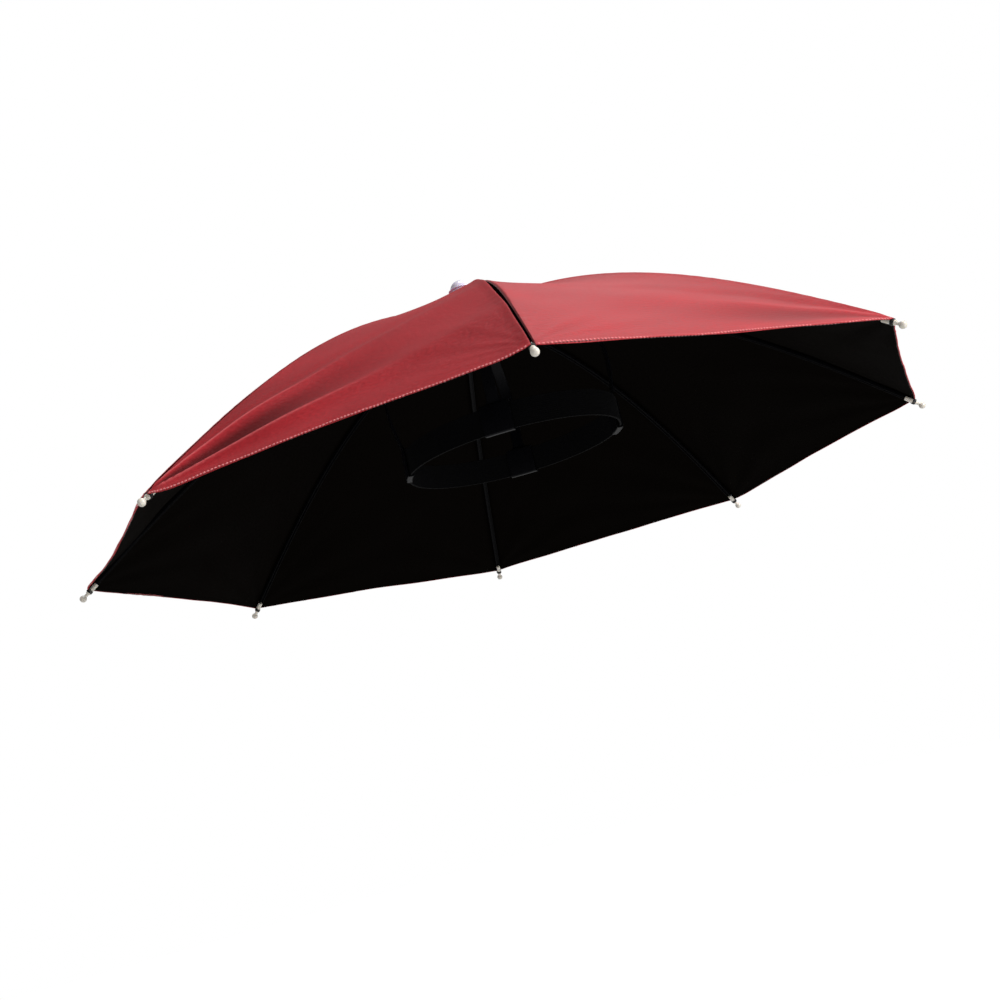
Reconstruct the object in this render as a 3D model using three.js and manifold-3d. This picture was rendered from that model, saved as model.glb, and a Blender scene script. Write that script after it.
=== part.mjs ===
// Umbrella hat: an eight-gore canopy on channel ribs, carried over the head by four
// arms and a stretch headband.
// Millimetres. +Z runs up the canopy's axis and -Y is the way the wearer faces.
// The origin is the middle of the headband, where the hat sits on a head.

import * as THREE from 'three';
import { mergeVertices } from 'three/addons/utils/BufferGeometryUtils.js';
import Module from 'manifold-3d';

const wasm = await Module();
wasm.setup();

// Canopy
const canopySpan = 684;      // between opposite rib ends, on the rim plane
const canopyRise = 157;      // top of the cloth above the rim plane
const canopyRound = 1.11;    // share of the rise lost with the square of the radius
const canopyFlare = -0.08;   // share lost with its fourth power
const canopyTurn = 9.6;      // degrees from the front to the nearest rib
const canopyBack = 13;       // canopy axis behind the middle of the headband
const goreCount = 8;
const cornerInset = 5.5;     // level distance from a rib end to the cloth's corner
const hemScallop = 2.3;      // hem drawn inward between two corners
const goreSag = 2.7;         // cloth drawn inward between two ribs
const sagStart = 60;         // radius where the sag is full
const clothWall = 1;
const clothHole = 5;         // radius of the hole for the post
const seamGap = 0.3;

// How each rib stands off a true octagon: the droop of its end and the bulge of its
// middle as shares of the rise, and the degrees that its end swings round.
const ribSet = [
  { droop: 0, bulge: -0.007, swing: 0.1 },
  { droop: 0.002, bulge: 0, swing: -0.3 },
  { droop: 0.011, bulge: 0, swing: 0.8 },
  { droop: 0, bulge: 0, swing: 0 },
  { droop: -0.006, bulge: 0, swing: 0.4 },
  { droop: -0.009, bulge: 0, swing: -0.1 },
  { droop: 0.020, bulge: -0.012, swing: 0 },
  { droop: -0.011, bulge: -0.004, swing: -0.6 },
];

// Ribs and their tips
const ribWidth = 3.5;
const ribDepth = 2.5;
const ribWall = 0.6;
const ribRoot = 8;           // radius where a rib starts, inside the hub
const sleeveRadius = 1.9;
const sleeveUnder = 8;       // sleeve hidden under the cloth's corner
const sleeveProud = 2;       // sleeve beyond the corner
const neckRadius = 1.2;
const ballRadius = 2.7;
const stemRadius = 0.7;      // pin of the tip, inside the rib's channel
const stemLength = 5;

// Hub, post and cap
const hubRadius = 14;
const hubFloor = 2;          // hub under its rib slots
const postRadius = 3.5;
const capRadius = 8.2;
const capFlange = 2.4;       // flange beyond the cap's wall
const capFlangeHeight = 2;
const capHeight = 29.5;
const capWall = 2.2;

// Harness
const plateRadius = 16;
const plateThick = 2;
const armWidth = 9.3;
const armThick = 1.6;
const armFullness = 3.4;     // 2 is an ellipse, more is squarer
const armBow = 7;            // how far an arm bows out over the band
const armTurn = 45;          // degrees from the front or back to an arm's loop
const loopWidth = 23;
const loopWall = 1.3;
const loopAbove = 2.1;       // loop beyond the band's upper edge
const loopBelow = 1.2;       // loop beyond the band's lower edge
const headLength = 192;      // inside the band, front to back
const headWidth = 150;       // inside the band, side to side
const bandHeight = 20;
const bandWall = 1.6;
const bandAboveRim = 41.5;   // middle of the band above the rim plane
const bandDip = 3;           // degrees that the band leans down to the front

const clearance = 0.3;
const slotClearance = 0.45;  // between the flat-sided band and its loops

// Facets
const goreSteps = 12;
const goreColumns = 8;
const roundSides = 10;
const hubSides = 32;
const bandSides = 72;
const armSteps = 12;
const loopSteps = 4;

const halfSpan = canopySpan / 2;
const halfGore = Math.PI / goreCount;
const cornerRadius = halfSpan - cornerInset;
const radians = THREE.MathUtils.degToRad;
const lerp = THREE.MathUtils.lerp;

const finishes = {
  redCloth: { color: 0xa8383f, roughness: 0.55, metalness: 0 },
  blackSteel: { color: 0x14120f, roughness: 0.35, metalness: 0.8 },
  creamPlastic: { color: 0xd9d0c0, roughness: 0.35, metalness: 0.1 },
  clearPlastic: { color: 0xd2cfe4, roughness: 0.2, metalness: 0 },
  blackPlastic: { color: 0x0d0d10, roughness: 0.4, metalness: 0 },
  blackElastic: { color: 0x111014, roughness: 0.8, metalness: 0 },
};

// Shared geometry helpers

// Welds a geometry and drops the flat triangles that a lathe leaves on its axis.
function welded(geometry) {
  const bare = geometry.clone();
  bare.deleteAttribute('normal');
  bare.deleteAttribute('uv');
  const merged = mergeVertices(bare, 1e-4);
  const old = merged.index.array;
  const kept = [];
  for (let i = 0; i < old.length; i += 3) {
    const [a, b, c] = [old[i], old[i + 1], old[i + 2]];
    if (a !== b && b !== c && c !== a) {
      kept.push(a, b, c);
    }
  }
  merged.setIndex(kept);
  return merged;
}

function toManifold(geometry) {
  const solid = welded(geometry);
  return new wasm.Manifold(new wasm.Mesh({
    numProp: 3,
    vertProperties: new Float32Array(solid.attributes.position.array),
    triVerts: new Uint32Array(solid.index.array),
  }));
}

function fromManifold(manifold) {
  const mesh = manifold.getMesh();
  const geometry = new THREE.BufferGeometry();
  geometry.setAttribute('position', new THREE.BufferAttribute(mesh.vertProperties, 3));
  geometry.setIndex(new THREE.BufferAttribute(mesh.triVerts, 1));
  return geometry;
}

function signedVolume(points, faces) {
  let volume = 0;
  for (const [a, b, c] of faces) {
    volume += points[a].dot(points[b].clone().cross(points[c]));
  }
  return volume;
}

// Skins a row of like rings, each a list of loops of points. The cap's triangles
// count the points of a ring in order. A closed row joins its last ring to its first.
function loft(rings, cap, closed = false) {
  const points = rings.flatMap((ring) => ring.flat());
  const perRing = rings[0].flat().length;
  const faces = [];
  const spans = closed ? rings.length : rings.length - 1;
  for (let i = 0; i < spans; i += 1) {
    const here = i * perRing;
    const next = ((i + 1) % rings.length) * perRing;
    let start = 0;
    for (const loop of rings[0]) {
      for (let j = 0; j < loop.length; j += 1) {
        const a = start + j;
        const b = start + (j + 1) % loop.length;
        faces.push([here + a, here + b, next + b], [here + a, next + b, next + a]);
      }
      start += loop.length;
    }
  }
  if (!closed) {
    const last = (rings.length - 1) * perRing;
    for (const [a, b, c] of cap) {
      faces.push([c, b, a], [last + a, last + b, last + c]);
    }
  }
  const outward = signedVolume(points, faces) > 0;
  const geometry = new THREE.BufferGeometry().setFromPoints(points);
  geometry.setIndex(faces.flatMap(([a, b, c]) => (outward ? [a, b, c] : [c, b, a])));
  return geometry;
}

// Carries a flat section, with any holes in it, through a row of frames. A frame has an
// origin and the section's two axes.
function sweep(section, holes, frames, closed = false) {
  const { isClockWise, triangulateShape } = THREE.ShapeUtils;
  const loops = [section, ...holes].map((loop, i) => (
    isClockWise(loop) === (i > 0) ? loop : [...loop].reverse()));
  const corners = loops.flat();
  const cap = closed ? [] : triangulateShape(loops[0], loops.slice(1)).map(([a, b, c]) => (
    isClockWise([corners[a], corners[b], corners[c]]) ? [c, b, a] : [a, b, c]));
  const rings = frames.map(({ origin, across, out }) => loops.map((loop) => loop.map(
    (p) => origin.clone().addScaledVector(across, p.x).addScaledVector(out, p.y),
  )));
  return loft(rings, cap, closed);
}

function rectangle(left, right, low, high) {
  return [[left, low], [right, low], [right, high], [left, high]]
    .map(([x, y]) => new THREE.Vector2(x, y));
}

// Turns an outline of [radius, height] pairs about the Z axis.
function turned(outline, sides) {
  const points = outline.map(([radius, height]) => new THREE.Vector2(radius, height));
  return welded(new THREE.LatheGeometry(points, sides).rotateX(Math.PI / 2));
}

function piece(name, geometry, finish) {
  const mesh = new THREE.Mesh(geometry, new THREE.MeshStandardMaterial(finish));
  mesh.name = name;
  return mesh;
}

// Canopy form: heights are above the rim plane

function rise(radius) {
  const q = (radius / halfSpan) ** 2;
  const steep = 1 - canopyRound - canopyFlare;
  return canopyRise * (1 - canopyRound * q - canopyFlare * q ** 2 - steep * q ** 3);
}

function slope(radius) {
  const q = (radius / halfSpan) ** 2;
  const steep = 1 - canopyRound - canopyFlare;
  const bend = canopyRound + 2 * canopyFlare * q + 3 * steep * q ** 2;
  return (-2 * canopyRise * radius / halfSpan ** 2) * bend;
}

// Sag of the cloth between two seams; across runs from -1 at one seam to 1 at the other.
function sag(radius, across) {
  const share = Math.sin(Math.min(1, radius / sagStart) * Math.PI / 2);
  return goreSag * share * (1 - across ** 2);
}

// Point of a gore whose middle runs along +X, at a depth under its outer face. The
// gore's edges stay beside the seam planes at any depth.
function gorePoint(radius, across, depth) {
  const fall = slope(radius) / Math.cos(halfGore);
  const length = Math.hypot(fall, 1);
  const inward = depth + sag(radius, across);
  const x = radius * Math.cos(halfGore) + inward * fall / length;
  const half = x * Math.tan(halfGore) - seamGap / 2 / Math.cos(halfGore);
  return new THREE.Vector3(x, across * half, rise(radius) - inward / length);
}

// Radii of the cloth's rows of facets, with one row at the hub's edge.
function goreRadii() {
  const radii = [clothHole];
  for (let i = 0; i <= goreSteps; i += 1) {
    radii.push(lerp(hubRadius, cornerRadius, i / goreSteps));
  }
  return radii;
}

function goreGeometry() {
  const columns = Array.from({ length: goreColumns + 1 }, (_, i) => 2 * i / goreColumns - 1);
  const row = (radius, depth) => columns.map((across) => {
    const drawn = hemScallop * (1 - across ** 2) * (radius / cornerRadius) ** 2;
    return gorePoint(radius - drawn, across, depth);
  });
  const rings = goreRadii().map((radius) => [
    [...row(radius, 0), ...row(radius, clothWall).reverse()],
  ]);
  const cap = [];
  for (let i = 0; i < goreColumns; i += 1) {
    const under = 2 * goreColumns + 1 - i;
    cap.push([i, i + 1, under - 1], [i, under - 1, under]);
  }
  return loft(rings, cap);
}

// Moves a point of the ideal canopy, whose first rib runs along +X, to where the two
// ribs beside it carry it.
function settle(point) {
  const turn = (Math.atan2(point.y, point.x) / (2 * halfGore) + goreCount) % goreCount;
  const before = ribSet[Math.floor(turn) % ribSet.length];
  const after = ribSet[(Math.floor(turn) + 1) % goreCount % ribSet.length];
  const between = (key) => lerp(before[key], after[key], turn % 1);
  const reach = (point.x ** 2 + point.y ** 2) / halfSpan ** 2;
  const lift = between('bulge') * 4 * reach * (1 - reach) - between('droop') * reach;
  point.applyAxisAngle(new THREE.Vector3(0, 0, 1), radians(between('swing')) * reach);
  point.z += canopyRise * lift;
}

// Ribs and tips, in a frame whose seam plane is Y = 0 with +X outward

// Depth below the seam line, square to the rib, that keeps a shape under both gores:
// reach is how far it must stay from their inner faces, half is its flat half width.
function underSeam(radius, reach, half) {
  const fall = -slope(radius);
  const roof = Math.hypot(1, fall / Math.cos(halfGore));
  const facing = Math.hypot(1, fall) / roof;
  const lean = fall * Math.tan(halfGore) / roof;
  const halfWidth = radius * Math.sin(halfGore);
  const drawn = sag(radius, Math.max(0, 1 - half / halfWidth));
  return (clothWall + clearance + drawn + reach + half * lean) / facing;
}

function seamFrame(radius, depth) {
  const length = Math.hypot(1, slope(radius));
  const out = new THREE.Vector3(-slope(radius) / length, 0, 1 / length);
  const along = new THREE.Vector3(1 / length, 0, slope(radius) / length);
  const origin = new THREE.Vector3(radius, 0, rise(radius)).addScaledVector(out, -depth);
  return { origin, across: new THREE.Vector3(0, 1, 0), out, along };
}

const sleeveStart = cornerRadius - sleeveUnder / Math.hypot(1, slope(cornerRadius));

function ribGeometry() {
  const ribEnd = sleeveStart - clearance;
  const radii = [ribRoot, ...goreRadii().filter((r) => r > ribRoot + 1 && r < ribEnd - 1), ribEnd];
  const half = ribWidth / 2;
  const channel = [
    [-half, 0], [half, 0], [half, -ribDepth], [half - ribWall, -ribDepth],
    [half - ribWall, -ribWall], [ribWall - half, -ribWall],
    [ribWall - half, -ribDepth], [-half, -ribDepth],
  ].map(([x, y]) => new THREE.Vector2(x, y));
  const frames = radii.map((radius) => seamFrame(radius, underSeam(radius, 0, half)));
  return sweep(channel, [], frames);
}

// Outline of a tip along its own axis: the sleeve starts at zero and the ball ends it.
function tipOutline() {
  const sleeveEnd = sleeveUnder + sleeveProud;
  const ballAt = sleeveUnder + cornerInset * Math.hypot(1, slope(cornerRadius));
  const outline = [[0, -stemLength], [stemRadius, -stemLength], [stemRadius, 0],
    [sleeveRadius - ribWall, 0], [sleeveRadius, ribWall],
    [sleeveRadius, sleeveEnd - ribWall], [sleeveRadius - ribWall, sleeveEnd]];
  const arcStart = Math.asin(neckRadius / ballRadius);
  const arcSteps = 6;
  outline.push([neckRadius, sleeveEnd]);
  for (let i = 0; i <= arcSteps; i += 1) {
    const angle = lerp(arcStart, Math.PI, i / arcSteps);
    const radius = i === arcSteps ? 0 : ballRadius * Math.sin(angle);
    outline.push([radius, ballAt - ballRadius * Math.cos(angle)]);
  }
  return outline;
}

function tipGeometry() {
  const { origin, along } = seamFrame(sleeveStart, underSeam(cornerRadius, sleeveRadius, 0));
  const lean = new THREE.Quaternion().setFromUnitVectors(new THREE.Vector3(0, 0, 1), along);
  return turned(tipOutline(), roundSides).applyQuaternion(lean).translate(...origin);
}

// Hub, post, plate and cap, on the canopy's axis

const ribUnderside = rise(hubRadius) - underSeam(hubRadius, 0, ribWidth / 2) - ribDepth;
const slotFloor = ribUnderside - clearance;
const hubTop = rise(hubRadius) - clothWall - sag(hubRadius, 0) - clearance;
const hubBottom = slotFloor - hubFloor;
const armLevel = hubBottom - clearance - armThick / 2;
const plateTop = armLevel - armThick / 2 - clearance;
const plateBottom = plateTop - plateThick;
const capBottom = canopyRise + clearance;
const postTop = capBottom + capHeight - capRadius - clearance;

function hubGeometry() {
  let hub = toManifold(turned([
    [0, plateBottom], [postRadius, plateBottom], [postRadius, hubBottom],
    [hubRadius, hubBottom], [hubRadius, hubTop], [postRadius, hubTop],
    [postRadius, postTop], [0, postTop],
  ], hubSides));
  const slotWidth = ribWidth + 2 * clearance;
  const slotLength = hubRadius - ribRoot + 2;
  const slotHeight = hubTop - slotFloor + 2;
  for (let i = 0; i < goreCount; i += 1) {
    const slot = new THREE.BoxGeometry(slotLength, slotWidth, slotHeight);
    slot.translate(ribRoot - clearance + slotLength / 2, 0, slotFloor + slotHeight / 2);
    slot.rotateZ(2 * halfGore * i);
    hub = hub.subtract(toManifold(slot));
  }
  return fromManifold(hub);
}

function plateGeometry() {
  const bore = postRadius + clearance;
  return turned([
    [bore, plateBottom], [plateRadius, plateBottom],
    [plateRadius, plateTop], [bore, plateTop], [bore, plateBottom],
  ], hubSides);
}

function capGeometry() {
  const bore = postRadius + clearance;
  const boreTop = postTop + clearance;
  const flange = capRadius + capFlange;
  const shoulder = capBottom + capHeight - capRadius + capWall;
  const domeRise = capBottom + capHeight - shoulder;
  const outline = [[bore, capBottom], [flange, capBottom],
    [flange, capBottom + capFlangeHeight], [capRadius, capBottom + capFlangeHeight]];
  const domeSteps = 5;
  for (let i = 0; i <= domeSteps; i += 1) {
    const angle = Math.PI / 2 * i / domeSteps;
    const radius = i === domeSteps ? 0 : capRadius * Math.cos(angle);
    outline.push([radius, shoulder + domeRise * Math.sin(angle)]);
  }
  outline.push([0, boreTop], [bore, boreTop], [bore, capBottom]);
  return turned(outline, hubSides);
}

// Headband and arms, about the middle of the headband

// Frame on the band's middle surface; turn is the ellipse's own parameter, across
// points away from the head and out is the band's upward direction.
function bandFrame(turn) {
  const halfWidth = (headWidth + bandWall) / 2;
  const halfLength = (headLength + bandWall) / 2;
  const dip = new THREE.Matrix4().makeRotationX(radians(bandDip));
  const origin = new THREE.Vector3(halfWidth * Math.cos(turn), halfLength * Math.sin(turn), 0);
  const along = new THREE.Vector3(-halfWidth * Math.sin(turn), halfLength * Math.cos(turn), 0);
  const pace = along.length();
  along.normalize();
  const across = new THREE.Vector3(along.y, -along.x, 0);
  const out = new THREE.Vector3(0, 0, 1);
  [origin, along, across, out].forEach((vector) => vector.applyMatrix4(dip));
  return { origin, across, along, out, pace };
}

function headbandGeometry() {
  const section = rectangle(-bandWall / 2, bandWall / 2, -bandHeight / 2, bandHeight / 2);
  const frames = Array.from({ length: bandSides }, (_, i) => bandFrame(2 * Math.PI * i / bandSides));
  return sweep(section, [], frames, true);
}

// Ellipse parameter of the point seen at a given angle from the middle.
function bandTurn(angle) {
  return Math.atan2(Math.sin(angle) * (headWidth + bandWall), Math.cos(angle) * (headLength + bandWall));
}

function loopGeometry(turn) {
  const slot = bandWall / 2 + slotClearance;
  const opening = rectangle(-slot, slot, -bandHeight / 2 - clearance, bandHeight / 2 + clearance);
  const section = rectangle(
    -slot - loopWall, slot + loopWall, -bandHeight / 2 - loopBelow, bandHeight / 2 + loopAbove,
  );
  const spread = loopWidth / 2 / bandFrame(turn).pace;
  const frames = Array.from({ length: loopSteps + 1 },
    (_, i) => bandFrame(turn + spread * (2 * i / loopSteps - 1)));
  return sweep(section, [opening], frames);
}

// An arm runs level between hub and plate, then down a rounded quarter to its loop,
// bowed out a little on the way.
function armGeometry(angle) {
  const turn = bandTurn(angle);
  const foot = bandFrame(turn);
  const base = foot.origin.clone()
    .addScaledVector(foot.out, bandHeight / 2 + (clearance + loopAbove) / 2);
  const top = armLevel - bandAboveRim;
  const axis = new THREE.Vector3(0, canopyBack, 0);
  const heading = base.clone().sub(axis).setZ(0);
  const length = heading.length();
  heading.normalize();
  const side = new THREE.Vector3(heading.y, -heading.x, 0);
  const footSide = foot.along.clone().multiplyScalar(Math.sign(foot.along.dot(side)));
  const point = (distance, height) => new THREE.Vector3(0, 0, height)
    .add(axis).addScaledVector(heading, distance);
  const route = [{ at: point(armRoot, top), twist: 0 }];
  for (let i = 0; i <= armSteps; i += 1) {
    const angleDown = Math.PI / 2 * i / armSteps;
    const reach = Math.sin(angleDown) ** (2 / armFullness);
    const climb = i === armSteps ? 0 : Math.cos(angleDown) ** (2 / armFullness);
    const bow = armBow * reach * Math.sin(Math.PI * climb);
    const distance = lerp(plateRadius, length, reach) + bow;
    route.push({ at: point(distance, lerp(base.z, top, climb)), twist: i / armSteps });
  }
  const frames = route.map(({ at, twist }, i) => {
    const before = route[Math.max(0, i - 1)].at;
    const after = route[Math.min(route.length - 1, i + 1)].at;
    const tangent = after.clone().sub(before).normalize();
    if (i <= 1) {
      tangent.copy(heading);
    }
    if (i === route.length - 1) {
      tangent.copy(foot.out).negate();
    }
    const across = side.clone().lerp(footSide, twist);
    across.addScaledVector(tangent, -across.dot(tangent)).normalize();
    return { origin: at, across, out: across.clone().cross(tangent) };
  });
  const strip = sweep(rectangle(-armWidth / 2, armWidth / 2, -armThick / 2, armThick / 2), [], frames);
  return fromManifold(toManifold(strip).add(toManifold(loopGeometry(turn))));
}

// The front arms run closest together, so they set where all the arms start.
const frontFoot = bandFrame(bandTurn(radians(armTurn - 90))).origin;
const frontSpread = Math.atan2(Math.abs(frontFoot.x), canopyBack - frontFoot.y);
const armRoot = (armWidth / 2 + clearance) / Math.tan(Math.min(frontSpread, Math.PI / 4));

// Assembly

// A piece of the canopy turned to its seam or gore, with its points where the ribs carry
// them.
function settledPiece(name, geometry, turn, finish) {
  const own = geometry.clone().rotateZ(turn);
  const { position } = own.attributes;
  const point = new THREE.Vector3();
  for (let i = 0; i < position.count; i += 1) {
    settle(point.fromBufferAttribute(position, i));
    position.setXYZ(i, ...point);
  }
  return piece(name, own, finish);
}

function canopyGroup() {
  const group = new THREE.Group();
  group.position.set(0, canopyBack, -bandAboveRim);
  const frame = new THREE.Group();
  frame.rotation.z = radians(canopyTurn - 90);
  group.add(frame);
  const gore = goreGeometry();
  const rib = ribGeometry();
  const tip = tipGeometry();
  for (let i = 0; i < goreCount; i += 1) {
    const seam = 2 * halfGore * i;
    frame.add(settledPiece(`rib_${i + 1}`, rib, seam, finishes.blackSteel));
    frame.add(settledPiece(`rib_tip_${i + 1}`, tip, seam, finishes.creamPlastic));
    frame.add(settledPiece(`canopy_panel_${i + 1}`, gore, seam + halfGore, finishes.redCloth));
  }
  frame.add(piece('hub', hubGeometry(), finishes.blackPlastic));
  frame.add(piece('top_cap', capGeometry(), finishes.clearPlastic));
  frame.add(piece('harness_plate', plateGeometry(), finishes.blackPlastic));
  return group;
}

function harnessGroup() {
  const group = new THREE.Group();
  const corners = [armTurn - 90, 90 - armTurn, 90 + armTurn, -90 - armTurn];
  corners.forEach((corner, i) => {
    group.add(piece(`arm_${i + 1}`, armGeometry(radians(corner)), finishes.blackPlastic));
  });
  group.add(piece('headband', headbandGeometry(), finishes.blackElastic));
  return group;
}

const umbrellaHat = new THREE.Group();
umbrellaHat.add(canopyGroup(), harnessGroup());

export default umbrellaHat;
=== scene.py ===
import math

import bpy
import numpy as np
from bpy.props import (
    FloatProperty, FloatVectorProperty, IntProperty, PointerProperty,
)
from mathutils import Matrix, Vector


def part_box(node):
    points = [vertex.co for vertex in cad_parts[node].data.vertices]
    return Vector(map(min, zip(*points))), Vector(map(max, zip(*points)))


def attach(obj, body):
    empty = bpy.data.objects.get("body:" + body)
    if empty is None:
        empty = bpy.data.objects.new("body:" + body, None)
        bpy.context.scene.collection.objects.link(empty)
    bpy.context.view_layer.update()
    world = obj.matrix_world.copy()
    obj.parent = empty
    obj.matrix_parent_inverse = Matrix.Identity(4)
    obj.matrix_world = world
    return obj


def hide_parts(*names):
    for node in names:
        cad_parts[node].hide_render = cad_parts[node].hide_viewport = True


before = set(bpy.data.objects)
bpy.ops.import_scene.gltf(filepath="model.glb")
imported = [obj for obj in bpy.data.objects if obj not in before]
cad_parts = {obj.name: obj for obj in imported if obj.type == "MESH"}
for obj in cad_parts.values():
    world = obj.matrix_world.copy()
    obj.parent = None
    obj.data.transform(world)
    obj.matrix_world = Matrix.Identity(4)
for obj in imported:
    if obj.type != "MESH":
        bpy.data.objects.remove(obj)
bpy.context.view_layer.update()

bl_info = {
    "name": "Umbrella Hat",
    "version": (1, 0, 0),
    "blender": (4, 5, 0),
    "location": "3D View > Sidebar > Umbrella Hat",
    "description": "Models an umbrella hat, its materials and a studio around it",
    "category": "Add Mesh",
}

MM = 0.001
GORES = 8
HALF_GORE = math.pi / GORES
FIT_GAP = 0.0003             # between two parts that fit in or on each other
PLATE_LOW, PLATE_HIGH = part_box("harness_plate")
AXIS_Y = (PLATE_LOW.y + PLATE_HIGH.y) / 2


# Sizes and colours


class UmbrellaHatCanopySizes(bpy.types.PropertyGroup):
    """Sizes of the cloth and its ribs."""

    span: FloatProperty(
        name="Span", description="Between opposite rib ends", default=0.684, unit="LENGTH")
    rise: FloatProperty(
        name="Rise", description="Top of the cloth above the rim", default=0.157, unit="LENGTH")
    fullness: FloatProperty(
        name="Fullness", description="Share of the rise lost with the square of the radius",
        default=1.11, subtype="FACTOR")
    flare: FloatProperty(
        name="Flare", description="Share of the rise lost with the fourth power",
        default=-0.08, subtype="FACTOR")
    turn: FloatProperty(
        name="Turn", description="From the front to the nearest rib",
        default=math.radians(9.6), subtype="ANGLE")
    rim_level: FloatProperty(
        name="Rim level", description="Height of the rib ends' plane", default=-0.0415, unit="LENGTH")
    corner_inset: FloatProperty(
        name="Corner inset", description="From a rib end in to the cloth's corner",
        default=0.0055, unit="LENGTH")
    hem_scallop: FloatProperty(
        name="Hem scallop", description="Hem drawn in between two corners",
        default=0.0023, unit="LENGTH")
    sag: FloatProperty(
        name="Sag", description="Cloth drawn in between two ribs", default=0.0027, unit="LENGTH")
    sag_start: FloatProperty(
        name="Sag start", description="Radius where the sag is full", default=0.060, unit="LENGTH")
    hole: FloatProperty(
        name="Post hole", description="Radius of the hole at the crown",
        default=0.005, unit="LENGTH")
    cloth: FloatProperty(
        name="Cloth", description="Thickness of the cloth", default=0.0004, unit="LENGTH")
    hem_width: FloatProperty(
        name="Hem width", description="Width of the turned hem", default=0.0034, unit="LENGTH")
    hem_layers: FloatProperty(
        name="Hem layers", description="What the turned hem adds underneath",
        default=0.00015, unit="LENGTH")
    groove: FloatProperty(
        name="Seam groove", description="Depth of a seam below the cloth",
        default=0.0008, unit="LENGTH")
    stitch_inset: FloatProperty(
        name="Stitch inset", description="From the hem's edge in to its stitches",
        default=0.0005, unit="LENGTH")
    inner_hem: FloatProperty(
        name="Red inside", description="Red cloth that shows on the inside of the hem",
        default=0.0008, unit="LENGTH")
    stitch_pitch: FloatProperty(
        name="Stitch pitch", description="From one hem stitch to the next",
        default=0.0024, unit="LENGTH")


class UmbrellaHatRibSizes(bpy.types.PropertyGroup):
    """Sizes of the ribs and their tips."""

    width: FloatProperty(
        name="Rib width", description="Width of the channel", default=0.0035, unit="LENGTH")
    depth: FloatProperty(
        name="Rib depth", description="Depth of the channel", default=0.0025, unit="LENGTH")
    wall: FloatProperty(
        name="Rib wall", description="Thickness of the channel", default=0.0006, unit="LENGTH")
    root: FloatProperty(
        name="Rib root", description="Radius where a rib starts", default=0.008, unit="LENGTH")
    under_cloth: FloatProperty(
        name="Solid cloth", description="Thickness that the ribs keep clear of",
        default=0.001, unit="LENGTH")
    clearance: FloatProperty(
        name="Clearance", description="Gap between touching parts", default=FIT_GAP, unit="LENGTH")
    sleeve_radius: FloatProperty(
        name="Sleeve radius", description="Radius of a tip's sleeve",
        default=0.0019, unit="LENGTH")
    sleeve_under: FloatProperty(
        name="Sleeve under cloth", description="Sleeve hidden by the cloth's corner",
        default=0.008, unit="LENGTH")
    sleeve_proud: FloatProperty(
        name="Sleeve beyond cloth", description="Sleeve past the cloth's corner",
        default=0.002, unit="LENGTH")
    neck_radius: FloatProperty(
        name="Neck radius", description="Radius behind the ball", default=0.0012, unit="LENGTH")
    ball_radius: FloatProperty(
        name="Ball radius", description="Radius of a tip's ball", default=0.0027, unit="LENGTH")


class UmbrellaHatHarnessSizes(bpy.types.PropertyGroup):
    """Sizes of the cap, the arms and the headband."""

    cap_radius: FloatProperty(
        name="Cap radius", description="Radius of the cap's wall", default=0.0082, unit="LENGTH")
    cap_flange: FloatProperty(
        name="Cap flange", description="Flange beyond the wall", default=0.0024, unit="LENGTH")
    cap_flange_height: FloatProperty(
        name="Flange height", description="Height of the flange", default=0.002, unit="LENGTH")
    post_radius: FloatProperty(
        name="Post radius", description="Radius of the hub's post", default=0.0035, unit="LENGTH")
    arm_width: FloatProperty(
        name="Arm width", description="Width of an arm", default=0.0093, unit="LENGTH")
    arm_thick: FloatProperty(
        name="Arm thickness", description="Thickness of an arm", default=0.0016, unit="LENGTH")
    arm_fullness: FloatProperty(
        name="Arm fullness", description="2 is an ellipse, more is squarer",
        default=3.4, subtype="FACTOR")
    arm_bow: FloatProperty(
        name="Arm bow", description="How far an arm bows out", default=0.007, unit="LENGTH")
    arm_turn: FloatProperty(
        name="Arm turn", description="From the front or back to an arm",
        default=math.radians(45), subtype="ANGLE")
    loop_width: FloatProperty(
        name="Loop width", description="Loop along the band", default=0.023, unit="LENGTH")
    loop_wall: FloatProperty(
        name="Loop wall", description="Wall of a loop", default=0.0013, unit="LENGTH")
    loop_above: FloatProperty(
        name="Loop above", description="Loop past the band's upper edge",
        default=0.0021, unit="LENGTH")
    loop_below: FloatProperty(
        name="Loop below", description="Loop past the band's lower edge",
        default=0.0012, unit="LENGTH")
    loop_slack: FloatProperty(
        name="Loop slack", description="Between the band's side and a loop",
        default=0.00045, unit="LENGTH")
    head_length: FloatProperty(
        name="Head length", description="Inside the band, front to back",
        default=0.192, unit="LENGTH")
    head_width: FloatProperty(
        name="Head width", description="Inside the band, side to side",
        default=0.150, unit="LENGTH")
    band_height: FloatProperty(
        name="Band height", description="Width of the elastic", default=0.020, unit="LENGTH")
    band_wall: FloatProperty(
        name="Band thickness", description="Thickness of the elastic",
        default=0.0016, unit="LENGTH")
    band_dip: FloatProperty(
        name="Band dip", description="How far the band leans down to the front",
        default=math.radians(3), subtype="ANGLE")
    band_cords: IntProperty(
        name="Band cords", description="Rubber cords across the elastic", default=13, min=2)


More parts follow.
